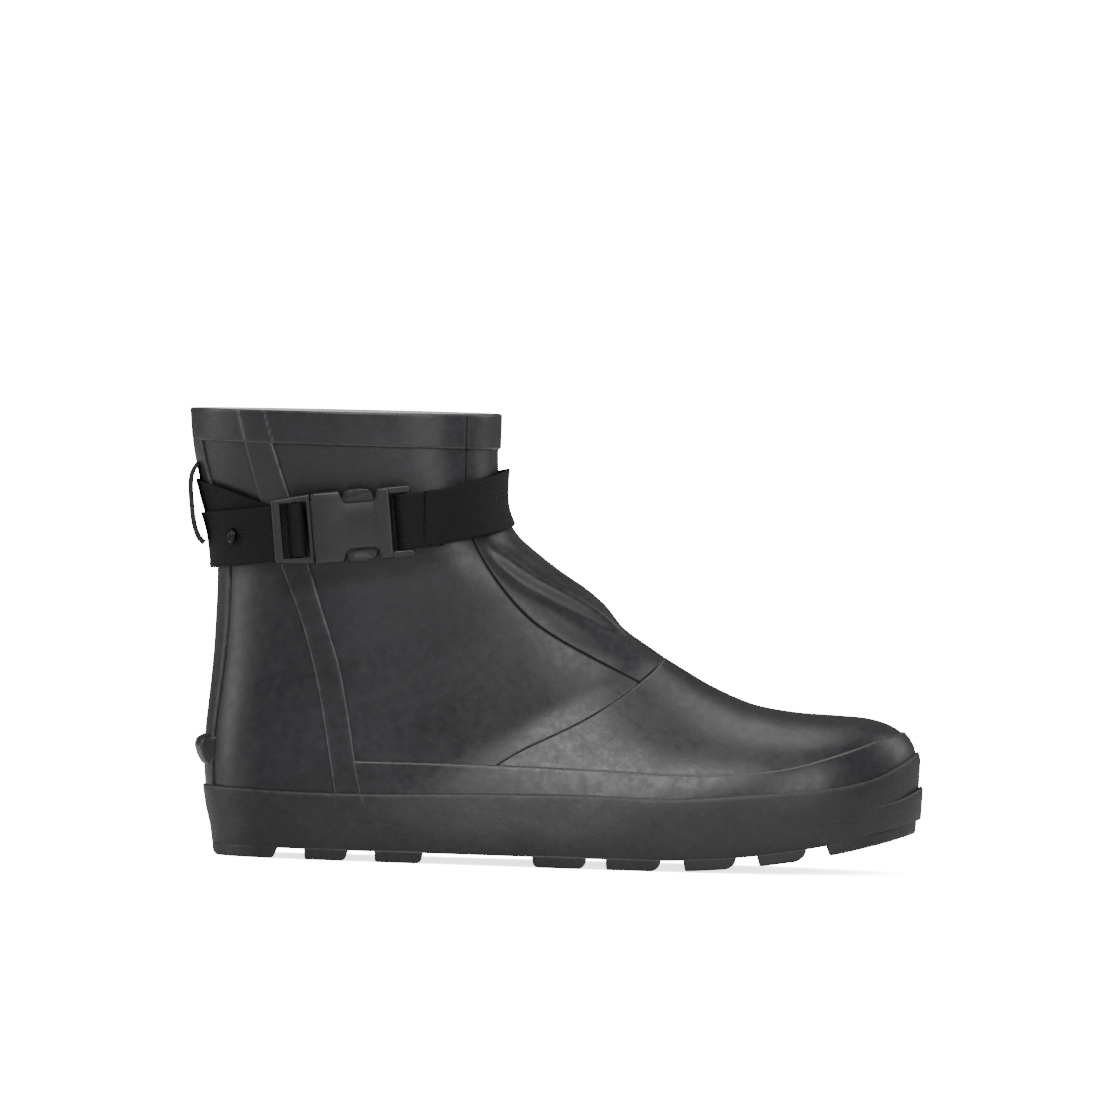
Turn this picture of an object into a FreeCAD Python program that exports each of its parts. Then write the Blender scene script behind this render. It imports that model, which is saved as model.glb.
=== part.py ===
import FreeCAD, Part
import math
import os

# Short rubber rain boot for the right foot, size EU 43, with an ankle strap and side-release buckle.
# The boot stands toe towards +X, outer side towards -Y. Working coordinates start under the heel,
# and every piece is moved by ORIGIN at export so that the row's origin is below the middle.
ORIGIN = FreeCAD.Vector(-107.5, 1.9, 0)

# Thicknesses of the layers, measured outwards from the outer face of the main rubber.
LINING_IN = -3.2
STIFFENER_IN = -2.6
RUBBER_IN = -2.0
OVERLAY_OUT = 1.2
FOXING_OUT = 2.4
LIP_EXTRA = 1.9
FOOTBED_IN = -3.5

# Sole stack: heights above the outsole plate's underside, which is LUG_HEIGHT above the floor.
LUG_HEIGHT = 4.5
PLATE_TOP = 5.0
FILLER_TOP = 10.0
BOARD_TOP = 12.0
FOOTBED_BOTTOM = 12.2
FOOTBED_TOP = 16.6
COVER_TOP = 17.4
SPRING_START = 145.0
SPRING_RADIUS = 400.0

# Collar and bands.
TOP_BACK = (-60.0, 191.4)
TOP_FRONT = (90.0, 192.8)
BAND_BOTTOM = 177.5
BACK_STAY_HALF = 15.0

# Ankle strap.
WEB_WIDTH = 23.6
WEB_THICK = 1.3
STRAP_CENTRE_X = 18.0
STRAP_STEP = 5.0
RIVET_X = -28.6
RIVET_Z = 137.1
RIVET_SEAT = 3.1
RIVET_SHANK_R = 1.5
RIVET_HEAD_R = 3.4
LOOP_WIDTH = 20.0
LOOP_THICK = 1.4

# Buckle: centre on the outer side, tilt up towards the toe, yaw round the leg.
BUCKLE_X = 13.2
BUCKLE_Y = -51.4
BUCKLE_Z = 143.1
BUCKLE_TILT = 6.5
BUCKLE_YAW = 4.5
FEMALE_HALF_THICK = 4.2
MALE_HALF_THICK = 2.8
PRONG_HALF_THICK = 2.3
BUCKLE_HALF_WIDTH = 15.2
POCKET_HALF_WIDTH = 12.4
POCKET_HALF_THICK = 2.6
MOUTH_U = -11.2
BODY_END_U = 22.5
ARM_END_U = 31.2
ARM_LOW_W = -2.9
ARM_HIGH_W = 1.6
BAR_LOW_U = 27.2
BAR_HIGH_U = 30.6
BAR_MIDDLE_W = -1.2
BAR_HALF_W = 1.3
FOLD_LEFT_U = 24.0
LADDER_BAR_U = -18.6
LADDER_BAR_R = 1.5
PRONG_ROOT = (-8.8, 7.9)
PRONG_ROOT_R = 1.5

# The boot's outer face is a fan of flat sections, from the collar to the toe. Each row is one section:
# front or top end (x, z), back or bottom end (x, z), half width, middle's y, share of the depth where
# it is widest, roundness of the front and back halves, and taper from back to front.
SECTIONS = [
    (79.8, 205.0, -52.9, 204.0, 50.5, 0.0, 0.50, 2.10, 2.00, 0.10),
    (79.8, 192.7, -52.0, 191.5, 50.0, 0.0, 0.50, 2.15, 2.00, 0.12),
    (79.8, 177.0, -50.0, 174.0, 48.5, 0.0, 0.50, 2.20, 2.00, 0.18),
    (80.6, 163.0, -45.4, 155.0, 46.5, 0.0, 0.50, 2.25, 2.00, 0.26),
    (83.0, 151.5, -40.2, 138.0, 45.5, 0.0, 0.50, 2.25, 2.00, 0.28),
    (89.4, 141.0, -38.2, 122.0, 44.5, 0.0, 0.49, 2.25, 2.00, 0.28),
    (98.5, 133.0, -38.2, 105.0, 43.5, -0.3, 0.48, 2.30, 2.00, 0.20),
    (108.0, 126.0, -38.7, 88.0, 42.5, -0.6, 0.47, 2.35, 2.05, 0.10),
    (117.5, 119.8, -39.9, 70.0, 41.5, -1.0, 0.46, 2.40, 2.10, -0.02),
    (126.0, 113.0, -41.3, 52.0, 41.0, -1.5, 0.45, 2.40, 2.15, -0.12),
    (134.0, 105.5, -41.0, 34.0, 40.5, -2.0, 0.44, 2.45, 2.25, -0.20),
    (142.0, 98.6, -37.4, 15.0, 40.5, -2.5, 0.43, 2.50, 2.40, -0.28),
    (151.0, 92.4, -28.6, -8.0, 40.5, -3.0, 0.42, 2.50, 2.60, -0.33),
    (162.0, 85.8, 10.0, -14.0, 42.0, -4.0, 0.41, 2.50, 3.00, -0.31),
    (176.0, 78.2, 62.0, -14.0, 45.5, -4.6, 0.40, 2.45, 3.20, -0.26),
    (193.0, 71.5, 112.0, -14.0, 50.0, -4.0, 0.40, 2.40, 3.20, -0.19),
    (211.0, 68.6, 158.0, -12.0, 51.8, -1.6, 0.40, 2.40, 3.20, -0.14),
    (228.0, 67.7, 197.0, -9.0, 49.0, 1.4, 0.41, 2.40, 3.20, -0.10),
    (243.0, 66.6, 226.0, -5.0, 41.5, 4.4, 0.42, 2.45, 3.20, -0.08),
    (254.0, 63.0, 245.0, 0.0, 30.5, 6.8, 0.44, 2.50, 3.20, -0.04),
    (260.5, 57.0, 256.0, 6.0, 18.5, 8.2, 0.46, 2.60, 3.20, 0.00),
    (263.3, 49.5, 262.0, 14.0, 8.0, 8.8, 0.50, 2.60, 3.00, 0.00),
]
TOE_START = 15
LAST = len(SECTIONS) - 1
COLUMNS = list(zip(*SECTIONS))
RING_POINTS = 48
STEP = 1e-3

# Seams and edges of the panels, drawn in the side view as (x, z) from top to bottom.
STAY_MIDDLE = [(-29.5, 212), (-26.2, 190), (-22.2, 176.5), (-15.1, 154.8), (-4.3, 122.8), (2.7, 103.8),
               (9.9, 80.5), (15.0, 56), (18.8, 35.5), (22.1, 20), (26.0, -4), (29, -24)]
STAY_BACK = [(-37.5, 212), (-31.8, 190), (-28.4, 177), (-21, 152.5), (-10.3, 122.7), (-1.9, 101.5),
             (5.4, 76), (10.5, 50), (14.2, 29), (15.7, 20), (18.5, -4)]
STAY_FRONT = [(-27.5, 212), (-20.6, 190), (-15.9, 176), (-9.2, 157), (1.7, 123), (7.4, 106),
              (14.5, 85), (19.5, 63), (23.2, 42), (26.2, 29), (28.6, 20), (33.5, -4)]
GUSSET_SEAM = [(66.0, 212), (66.1, 192), (66.2, 177), (66.5, 164), (67.5, 151), (70.4, 139), (75.6, 129.5),
               (82.3, 120), (89.6, 111.5), (97.6, 104.2), (108.8, 97.1), (120.5, 91), (132.1, 85.3), (143.8, 79.8)]
VAMP_SEAM = [(143.8, 79.8), (131, 70), (118.5, 62), (105.8, 55.4), (93, 48.8), (76, 37),
             (63.7, 26), (51, 16), (34, 4), (20, -10)]
FOXING_TOP = [(-75, 31), (-42, 30), (0, 29), (18, 29), (85, 31), (128, 31.6), (159, 31.2), (189, 33.5),
              (215, 36.2), (234, 38.8), (247, 42.6), (258, 48.6), (266, 54), (285, 66)]
RAND_TOP = [(-75, 43), (16, 43), (85, 43), (125, 42.5), (180, 42.3), (208, 45.5), (234, 53.4),
            (250, 59.2), (259, 61.6), (285, 66)]
LIP_TOP = [(205, 26), (225, 27.4), (238, 28.6), (247.5, 30.2), (258, 33.4), (267, 38), (285, 48)]

# Heights of the straps' upper edges at angles round the ankle, from 0 at the shin, the outer side being
# negative: (angle, height of the edge, distance of the strap's inner face from the rubber).
FRONT_STRAP = [(-60, 159.4, 8.2), (-54, 160.4, 8.0), (-45, 162.2, 5.6), (-35, 164.4, 3.3), (-25, 166.2, 1.9),
               (-12, 168.2, 1.5), (0, 169.2, 1.5), (20, 168.0, 1.5), (45, 164.0, 1.5), (75, 160.5, 1.5),
               (105, 158.8, 1.5), (135, 159.5, 1.5), (160, 160.6, 1.5), (180, 160.6, 1.5), (200, 158.2, 1.5),
               (215, 154.0, 1.5), (228, 149.8, 1.5)]
BACK_STRAP = [(128, 146.6, 3.1), (142, 146.4, 3.1), (160, 146.2, 3.1), (180, 146.4, 3.1), (200, 147.6, 3.1),
              (214, 149.0, 3.15), (224, 150.2, 3.5), (232, 151.0, 4.3), (240, 151.9, 5.4)]

# Side-view outlines of the heel spur and of the pull loop's inner face.
SPUR_PROFILE = [(-30, 51.6), (-42.9, 51.6), (-46.3, 49.7), (-47.1, 46.7), (-45.6, 42.0), (-43.2, 38.2),
                (-30, 38.2)]
SPUR_HALF = 17.0
SPUR_REACH = 6.0
LOOP_FACE = [(-48.4, 167.0), (-49.8, 164.9), (-50.8, 162.2), (-51.1, 158.5), (-50.5, 151.0), (-49.4, 143.0),
             (-47.9, 137.9), (-46.6, 135.6), (-44.7, 134.0)]

# Tread blocks: start and end along the sole, rounding of the heel-side and toe-side lower corners.
LUGS = [(-60, -10, 0.8, 2.6), (2.1, 20.6, 1.0, 2.6), (32.2, 52.9, 1.0, 2.6), (99.8, 123, 2.6, 3.6),
        (131.2, 154.8, 1.0, 4.2), (164.7, 187, 1.0, 4.6), (196.5, 217, 1.0, 4.6), (226.4, 300, 1.0, 1.0)]

# Outlines in the buckle's own frame, for the side above its long axis.
NOTCH = [(0.0, 15.9), (2.9, 9.6), (16.2, 9.6), (17.8, 15.9)]
PRONG = [(-8.8, 6.4), (-8.8, 9.4), (0.8, 11.2), (2.3, 12.6), (3.2, 14.6), (5.0, 15.5), (9.5, 15.7), (14.0, 15.0),
         (15.6, 12.2), (17.0, 9.4), (16.0, 8.4), (8.0, 9.0), (0.0, 8.2)]


def spline_value(values, s):
    """Return a Catmull-Rom value at position s in a list of numbers."""
    i = min(max(int(math.floor(s)), 0), len(values) - 2)
    f = s - i
    here = values[i]
    after = values[i + 1]
    before = values[i - 1] if i > 0 else 2 * here - after
    later = values[i + 2] if i + 2 < len(values) else 2 * after - here
    slope_here = (after - before) / 2
    slope_after = (later - here) / 2
    return ((2 * f ** 3 - 3 * f ** 2 + 1) * here + (f ** 3 - 2 * f ** 2 + f) * slope_here
            + (3 * f ** 2 - 2 * f ** 3) * after + (f ** 3 - f ** 2) * slope_after)


def power(value, exponent):
    """Raise a number to a power and keep its sign."""
    return math.copysign(abs(value) ** exponent, value)


def skin_point(s, angle):
    """Return the point of the outer rubber on section s, with angle 0 at its front or top end."""
    top_x, top_z, low_x, low_z, half, mid_y, widest, round_front, round_back, taper = [
        spline_value(column, s) for column in COLUMNS]
    cosine = math.cos(angle)
    exponent = 2 / (round_front if cosine >= 0 else round_back)
    reach = abs(cosine) ** exponent
    along = widest + (1 - widest) * reach if cosine >= 0 else widest - widest * reach
    y = power(math.sin(angle), exponent) * half * (1 + taper * (along - widest)) + mid_y
    return FreeCAD.Vector(low_x + along * (top_x - low_x), y, low_z + along * (top_z - low_z))


def layer_point(s, angle, distance):
    """Return the point of a layer that lies the given distance outside the outer rubber.

    The point stays in the plane of its section, which moves towards the toe as the toe closes."""
    point = skin_point(s, angle)
    if distance == 0:
        return point
    top_x, top_z, low_x, low_z = [spline_value(column, s) for column in COLUMNS[:4]]
    plane_normal = FreeCAD.Vector(top_z - low_z, 0, low_x - top_x)
    plane_normal.normalize()
    around = skin_point(s, angle + STEP) - skin_point(s, angle - STEP)
    onward = skin_point(min(s + STEP, LAST), angle) - skin_point(max(s - STEP, 0), angle)
    flat_normal = around.cross(plane_normal)
    flat_normal.normalize()
    full_normal = onward.cross(around)
    full_normal.normalize()
    if flat_normal.dot(full_normal) < 0:
        flat_normal = -flat_normal
    share = min(max((s - TOE_START) / (LAST - TOE_START), 0), 1)
    shift = share * share * (3 - 2 * share) * distance
    reach = (distance - shift * full_normal.dot(plane_normal)) / max(flat_normal.dot(full_normal), 0.3)
    reach = max(-2.6 * abs(distance), min(2.6 * abs(distance), reach))
    return point + flat_normal * reach + plane_normal * shift


def half_ring(points):
    """Return a smooth edge over one half of a section, leaving and meeting its middle squarely."""
    curve = Part.BSplineCurve()
    count = len(points) - 1
    shared = [k / count for k in range(count + 1)]
    leaving = FreeCAD.Vector(0, (points[1].y - points[0].y) * count, 0)
    meeting = FreeCAD.Vector(0, (points[-1].y - points[-2].y) * count, 0)
    curve.interpolate(Points=points, Parameters=shared, Scale=False,
                      InitialTangent=leaving, FinalTangent=meeting)
    return curve.toShape()


def layer_solid(distance, extra=0.0):
    """Return the solid inside a layer; extra thickens it smoothly towards the toe."""
    wires = []
    for s in range(LAST + 1):
        share = min(max((s - 16.5) / 3.0, 0), 1)
        offset = distance + extra * share * share * (3 - 2 * share)
        points = [layer_point(s, 2 * math.pi * k / RING_POINTS, offset) for k in range(RING_POINTS)]
        half = RING_POINTS // 2
        inner_half = half_ring(points[:half + 1])
        outer_half = half_ring(points[half:] + points[:1])
        wires.append(Part.Wire([inner_half, outer_half]))
    return Part.makeLoft(wires, True, False)


def spline_edge(points):
    """Return a smooth edge through side-view points."""
    curve = Part.BSplineCurve()
    curve.interpolate([FreeCAD.Vector(x, 0, z) for x, z in points])
    return curve.toShape()


def side_prism(edges, closing, low_y=-90.0, high_y=90.0):
    """Return the solid behind a side-view outline: smooth edges in order, then straight closing points."""
    start = edges[0].Vertexes[0].Point
    end = edges[-1].Vertexes[-1].Point
    corners = [end] + [FreeCAD.Vector(x, 0, z) for x, z in closing] + [start]
    outline = Part.Wire(edges + Part.makePolygon(corners).Edges)
    face = Part.Face(outline)
    face.translate(FreeCAD.Vector(0, low_y, 0))
    return face.extrude(FreeCAD.Vector(0, high_y - low_y, 0))


def sole_edges(height):
    """Return the side-view line at a height above the outsole plate's underside, with its toe spring."""
    level = LUG_HEIGHT + height
    radius = SPRING_RADIUS - height
    centre = FreeCAD.Vector(SPRING_START, 0, LUG_HEIGHT + SPRING_RADIUS)
    flat_end = FreeCAD.Vector(SPRING_START, 0, level)
    points = [flat_end]
    for degrees in (13.0, 26.0):
        turn = math.radians(degrees)
        points.append(centre + FreeCAD.Vector(radius * math.sin(turn), 0, -radius * math.cos(turn)))
    flat = Part.makeLine(FreeCAD.Vector(-90, 0, level), flat_end)
    return [flat, Part.Arc(points[0], points[1], points[2]).toShape()]


def above(height):
    """Return the space above one level of the sole stack."""
    return side_prism(sole_edges(height), [(330, 260), (-90, 260)])


def between(low, high):
    """Return the space between two levels of the sole stack."""
    lower = sole_edges(low)
    upper = sole_edges(high)
    far_join = Part.makeLine(lower[-1].Vertexes[-1].Point, upper[-1].Vertexes[-1].Point)
    near_join = Part.makeLine(upper[0].Vertexes[0].Point, lower[0].Vertexes[0].Point)
    outline = Part.Wire(Part.__sortEdges__(lower + [far_join] + upper + [near_join]))
    face = Part.Face(outline)
    face.translate(FreeCAD.Vector(0, -90, 0))
    return face.extrude(FreeCAD.Vector(0, 180, 0))


def below_line(points):
    """Return the space below a smooth side-view line."""
    return side_prism([spline_edge(points)], [(points[-1][0], -60), (points[0][0], -60)])


def box(low, high):
    """Return an upright box between two corners."""
    size = [b - a for a, b in zip(low, high)]
    return Part.makeBox(size[0], size[1], size[2], FreeCAD.Vector(low[0], low[1], low[2]))


def side_of(shape, sign):
    """Return the biggest solid of a shape on one side, sign -1 being the outer side."""
    chosen = [solid for solid in shape.Solids if solid.CenterOfMass.y * sign > 0]
    return max(chosen, key=lambda solid: solid.Volume)


def biggest(shape):
    """Return a shape's biggest solid."""
    return max(shape.Solids, key=lambda solid: solid.Volume)


def skin_at(angle, z, distance):
    """Return the layer's point at a height and an angle round the ankle's upright axis."""
    s = 3.0
    turn = math.radians(angle)
    for _ in range(40):
        point = layer_point(s, turn, distance)
        azimuth = math.atan2(point.y, point.x - STRAP_CENTRE_X)
        wrong = math.radians(angle) - azimuth
        wrong = (wrong + math.pi) % (2 * math.pi) - math.pi
        rise = layer_point(s + 0.05, turn, distance).z - layer_point(s - 0.05, turn, distance).z
        turn += 0.9 * wrong
        s += 0.9 * (z - point.z) / (rise / 0.1)
        s = min(max(s, 0.2), 9.0)
    return layer_point(s, turn, distance)


def strap_solid(table):
    """Return a webbing strap that follows a table of angles, upper edge heights and distances."""
    angles = [row[0] for row in table]
    wires = []
    count = int(round((angles[-1] - angles[0]) / STRAP_STEP))
    for k in range(count + 1):
        angle = angles[0] + k * (angles[-1] - angles[0]) / count
        i = max(j for j in range(len(table) - 1) if angles[j] <= angle + 1e-6)
        s = i + (angle - angles[i]) / (angles[i + 1] - angles[i])
        upper = spline_value([row[1] for row in table], s)
        distance = spline_value([row[2] for row in table], s)
        ring = []
        for z, offset in ((upper, 0), (upper, WEB_THICK), (upper - WEB_WIDTH, WEB_THICK), (upper - WEB_WIDTH, 0)):
            ring.append(skin_at(angle, z, distance + offset))
        wires.append(Part.makePolygon(ring + [ring[0]]))
    return Part.makeLoft(wires, True, False)


def buckle_place(shape):
    """Move a shape from the buckle's own frame (u along, v across, w outwards) to the ankle."""
    tilt = math.radians(BUCKLE_TILT)
    yaw = math.radians(BUCKLE_YAW)
    along = FreeCAD.Vector(math.cos(tilt) * math.cos(yaw), -math.sin(yaw), math.sin(tilt) * math.cos(yaw))
    across = FreeCAD.Vector(-math.sin(tilt), 0, math.cos(tilt))
    outward = along.cross(across)
    matrix = FreeCAD.Matrix(along.x, across.x, outward.x, BUCKLE_X,
                            along.y, across.y, outward.y, BUCKLE_Y,
                            along.z, across.z, outward.z, BUCKLE_Z, 0, 0, 0, 1)
    placed = shape.copy()
    placed.Placement = FreeCAD.Placement(matrix)
    return placed


def plate(points, low_w, high_w):
    """Return a flat plate from an outline in the buckle's own frame."""
    corners = [FreeCAD.Vector(u, v, low_w) for u, v in points]
    return Part.Face(Part.makePolygon(corners + [corners[0]])).extrude(FreeCAD.Vector(0, 0, high_w - low_w))


def rounded(shape, radius):
    """Round all the edges of a simple shape."""
    return shape.makeFillet(radius, shape.Edges)


def straight_sides(low_u, high_u, half):
    """Return the outline of a straight-sided plate in the buckle's own frame."""
    return [(low_u, -half), (low_u, half), (high_u, half), (high_u, -half)]


def mirrored(points):
    """Return an outline's copy across the buckle's long axis."""
    return [(u, -v) for u, v in points]


def web_fold(inner_low, inner_high, left, long_end, short_end):
    """Return a hairpin of webbing in the buckle's frame, closed at u = left."""
    half = WEB_WIDTH / 2
    middle = (inner_low + inner_high) / 2
    radius = (inner_high - inner_low) / 2
    centre_u = left + WEB_THICK + radius
    tube = Part.makeCylinder(radius + WEB_THICK, WEB_WIDTH, FreeCAD.Vector(centre_u, -half, middle),
                             FreeCAD.Vector(0, 1, 0))
    hollow = Part.makeCylinder(radius, WEB_WIDTH, FreeCAD.Vector(centre_u, -half, middle), FreeCAD.Vector(0, 1, 0))
    bend = tube.cut(hollow).cut(box((centre_u, -half, middle - 20), (centre_u + 20, half, middle + 20)))
    outer_leg = box((centre_u, -half, inner_high), (long_end, half, inner_high + WEB_THICK))
    inner_leg = box((centre_u, -half, inner_low - WEB_THICK), (short_end, half, inner_low))
    return bend.multiFuse([outer_leg, inner_leg]).removeSplitter()


def chamfered_block(low, high, heel_round, toe_round):
    """Return the upright space of one tread block, its lower corners cut off at 45 degrees."""
    run = max((low + high) / 2 - SPRING_START, 0)
    tread = SPRING_RADIUS - math.sqrt((SPRING_RADIUS + LUG_HEIGHT) ** 2 - run ** 2) + LUG_HEIGHT
    lean = math.tan(math.asin(run / SPRING_RADIUS))
    heel_z = tread + (low - (low + high) / 2) * lean
    toe_z = tread + (high - (low + high) / 2) * lean
    outline = [(low, 30), (low, heel_z + 0.7 * heel_round), (low + heel_round, heel_z + heel_round * lean - 0.1),
               (low + heel_round, heel_z - 3), (high - toe_round, toe_z - 4),
               (high - toe_round, toe_z - toe_round * lean - 0.1), (high, toe_z + 0.7 * toe_round), (high, 30)]
    corners = [FreeCAD.Vector(x, -90, z) for x, z in outline]
    return Part.Face(Part.makePolygon(corners + [corners[0]])).extrude(FreeCAD.Vector(0, 180, 0))


def drilled(shape, tools):
    """Return a piece with the space of the rivets taken out."""
    for tool in tools:
        shape = shape.cut(tool)
    return biggest(shape)


def export(shape, node):
    """Write one piece, moved to the row's frame."""
    moved = shape.copy()
    moved.translate(ORIGIN)
    moved.exportStep("parts/" + node + ".step")


os.makedirs("parts", exist_ok=True)

# Layers and cutting spaces.
skin = layer_solid(0.0)
rubber_in = layer_solid(RUBBER_IN)
stiffener_in = layer_solid(STIFFENER_IN)
lining_in = layer_solid(LINING_IN)
footbed_in = layer_solid(FOOTBED_IN)
overlay_out = layer_solid(OVERLAY_OUT)
foxing_out = layer_solid(FOXING_OUT)
lip_out = layer_solid(FOXING_OUT, LIP_EXTRA)

over_plate = above(PLATE_TOP)
over_board = above(BOARD_TOP)
under_top = side_prism([Part.makeLine(FreeCAD.Vector(TOP_BACK[0], 0, TOP_BACK[1]),
                                      FreeCAD.Vector(TOP_FRONT[0], 0, TOP_FRONT[1]))],
                       [(330, 190), (330, -60), (-90, -60), (-90, 191)])
under_band = box((-90, -90, -60), (330, 90, BAND_BOTTOM))
over_band = box((-90, -90, BAND_BOTTOM), (330, 90, 260))
under_foxing_top = below_line(FOXING_TOP)
under_rand_top = below_line(RAND_TOP)
under_lip_top = below_line(LIP_TOP)

# Outsole plate with its tread blocks.
plate_body = skin.common(between(0, PLATE_TOP))
tread_level = foxing_out.common(between(-LUG_HEIGHT, 0))
blocks = [tread_level.common(chamfered_block(*lug)) for lug in LUGS]
outsole = plate_body.multiFuse(blocks).removeSplitter()
export(outsole, "outsole")

# Inside the sole.
midsole = rubber_in.common(between(PLATE_TOP, FILLER_TOP))
shank_space = box((20, -9, 0), (118, 7, LUG_HEIGHT + FILLER_TOP)).common(above(FILLER_TOP - 2.0))
export(midsole.cut(shank_space), "midsole_filler")
export(midsole.common(shank_space), "shank")
export(rubber_in.common(between(FILLER_TOP, BOARD_TOP)), "insole_board")
export(footbed_in.common(between(FOOTBED_BOTTOM, FOOTBED_TOP)), "footbed")
export(footbed_in.common(between(FOOTBED_TOP, COVER_TOP)), "footbed_cover")

# Hidden stiffeners and the lining.
inner_room = rubber_in.common(over_board).common(under_top)
cap_space = side_prism([spline_edge([(212, -20), (214, 30), (219, 90)])], [(330, 90), (330, -20)])
counter_space = side_prism([spline_edge([(52, -20), (46, 25), (20, 62), (-30, 74), (-80, 78)])],
                           [(-80, -20)])
stiffener_layer = inner_room.cut(stiffener_in)
toe_puff = biggest(stiffener_layer.common(cap_space))
heel_counter = biggest(stiffener_layer.common(counter_space))
lining = inner_room.cut(lining_in).cut(toe_puff).cut(heel_counter)

# Main rubber, split along the seams.
main_layer = skin.common(under_top).common(over_plate).cut(rubber_in)
stay_line = spline_edge(STAY_MIDDLE)
gusset_line = spline_edge(GUSSET_SEAM)
vamp_line = spline_edge(VAMP_SEAM)
heel_region = side_prism([stay_line], [(-90, -24), (-90, 212)])
gusset_region = side_prism([gusset_line], [(152, 87.5), (160, 130), (160, 212)])
vamp_region = side_prism([vamp_line], [(330, -10), (330, 130), (160, 130), (152, 87.5)])
heel_quarter = biggest(main_layer.common(heel_region))
front_gusset = biggest(main_layer.common(gusset_region))
vamp = biggest(main_layer.common(vamp_region))
quarters = main_layer.cut(heel_region).cut(gusset_region).cut(vamp_region)
quarter_outer = side_of(quarters, -1)
quarter_inner = side_of(quarters, 1)

# Second layer of rubber over the seams.
overlay = overlay_out.common(under_top).cut(skin)
strips = overlay.common(under_band).cut(under_foxing_top)
stay_space = side_prism([spline_edge(STAY_BACK), Part.makeLine(FreeCAD.Vector(18.5, 0, -4),
                                                              FreeCAD.Vector(33.5, 0, -4)),
                         spline_edge(list(reversed(STAY_FRONT)))], [])
stays = strips.common(stay_space)
export(side_of(stays, -1), "side_stay_outer")
export(side_of(stays, 1), "side_stay_inner")
back_stay = biggest(strips.common(box((-90, -BACK_STAY_HALF, 0), (-20, BACK_STAY_HALF, 200))))
export(overlay.common(over_band), "collar_band")
ahead_of_stay = side_prism([spline_edge(STAY_FRONT)], [(330, -4), (330, 212)])
rand = biggest(strips.common(under_rand_top).common(ahead_of_stay))
export(rand, "rand")

# Foxing band round the sole, and the thicker lip at the toe.
foxing = biggest(foxing_out.common(above(0)).common(under_foxing_top).cut(skin))
export(foxing, "foxing")
lip_space = above(0).common(under_lip_top).common(box((222, -90, 0), (330, 90, 90)))
export(biggest(lip_out.common(lip_space).cut(foxing_out)), "toe_lip")

# Kick-off spur at the heel.
corners = [FreeCAD.Vector(x, -SPUR_HALF, z) for x, z in SPUR_PROFILE]
spur_bar = Part.Face(Part.makePolygon(corners + [corners[0]])).extrude(FreeCAD.Vector(0, 2 * SPUR_HALF, 0))
behind_heel = biggest(box((-60, -SPUR_HALF, 36), (-30, SPUR_HALF, 54)).cut(overlay_out))
spur = biggest(behind_heel.common(spur_bar).common(layer_solid(SPUR_REACH)))
export(spur, "kick_off_spur")

# Straps, rivets and pull loop.
front_strap = strap_solid(FRONT_STRAP)
back_strap = strap_solid(BACK_STRAP)

# The front strap folds round the female half's end bar and back along itself.
fold = buckle_place(web_fold(BAR_MIDDLE_W - 1.55, BAR_MIDDLE_W + 1.55, FOLD_LEFT_U, 34.0, 44.0))
front_strap = front_strap.fuse(fold)

# Female half.
body = plate(straight_sides(MOUTH_U, BODY_END_U, BUCKLE_HALF_WIDTH), -FEMALE_HALF_THICK, FEMALE_HALF_THICK)
body = rounded(body, 0.9)
arms = rounded(plate(straight_sides(20.0, ARM_END_U, BUCKLE_HALF_WIDTH), ARM_LOW_W, ARM_HIGH_W), 0.7)
arms = arms.cut(box((BODY_END_U, -12.3, -9), (BAR_LOW_U, 12.3, 9)))
bar_space = box((BAR_LOW_U, -13, BAR_MIDDLE_W - BAR_HALF_W), (BAR_HIGH_U, 13, BAR_MIDDLE_W + BAR_HALF_W))
arms = arms.cut(box((BODY_END_U, -12.3, -9), (40, 12.3, 9)).cut(bar_space))
female = body.fuse(arms).cut(plate(NOTCH, -9, 9)).cut(plate(mirrored(NOTCH), -9, 9))
pocket = box((-20, -POCKET_HALF_WIDTH, -POCKET_HALF_THICK), (19.0, POCKET_HALF_WIDTH, POCKET_HALF_THICK))
female = female.cut(pocket).removeSplitter()

# Male half: ladder frame, pocket block and guide tongue.
frame_outline = [(-28.5, -13.6), (-28.5, 13.6), (MOUTH_U - 0.3, 15.1), (MOUTH_U - 0.3, -15.1)]
frame = rounded(plate(frame_outline, -MALE_HALF_THICK, MALE_HALF_THICK), 0.8)
frame = frame.cut(box((-25.0, -12.0, -9), (-13.2, 12.0, 9)))
bar = Part.makeCylinder(LADDER_BAR_R, 25.0, FreeCAD.Vector(LADDER_BAR_U, -12.5, 0), FreeCAD.Vector(0, 1, 0))
neck = box((-13.4, -12.0, -PRONG_HALF_THICK), (-9.0, 12.0, PRONG_HALF_THICK))
tongue = rounded(box((-9.5, -2.6, -1.8), (9.0, 2.6, 1.8)), 0.6)
male = frame.multiFuse([bar, neck, tongue])

# Spring prongs, one at each edge, with round roots that bed in the neck.
prongs = []
for sign, outline in ((1, PRONG), (-1, mirrored(PRONG))):
    root_place = FreeCAD.Vector(PRONG_ROOT[0], sign * PRONG_ROOT[1], -PRONG_HALF_THICK)
    root = Part.makeCylinder(PRONG_ROOT_R, 2 * PRONG_HALF_THICK, root_place)
    socket = Part.makeCylinder(PRONG_ROOT_R + 0.1, 20, root_place - FreeCAD.Vector(0, 0, 8))
    male = male.cut(socket)
    prongs.append(plate(outline, -PRONG_HALF_THICK, PRONG_HALF_THICK).fuse(root).removeSplitter())
male = male.removeSplitter()

# Webbing folded over the ladder bar.
fold_outer = plate([(-22.0, -11.7), (-22.0, 11.7), (-15.2, 11.7), (-15.2, -11.7)], -2.7, 3.3)
fold_inner = plate([(-20.5, -12), (-20.5, 12), (-16.7, 12), (-16.7, -12)], -4.0, 1.9)
web_turn = fold_outer.cut(fold_inner)

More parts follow.
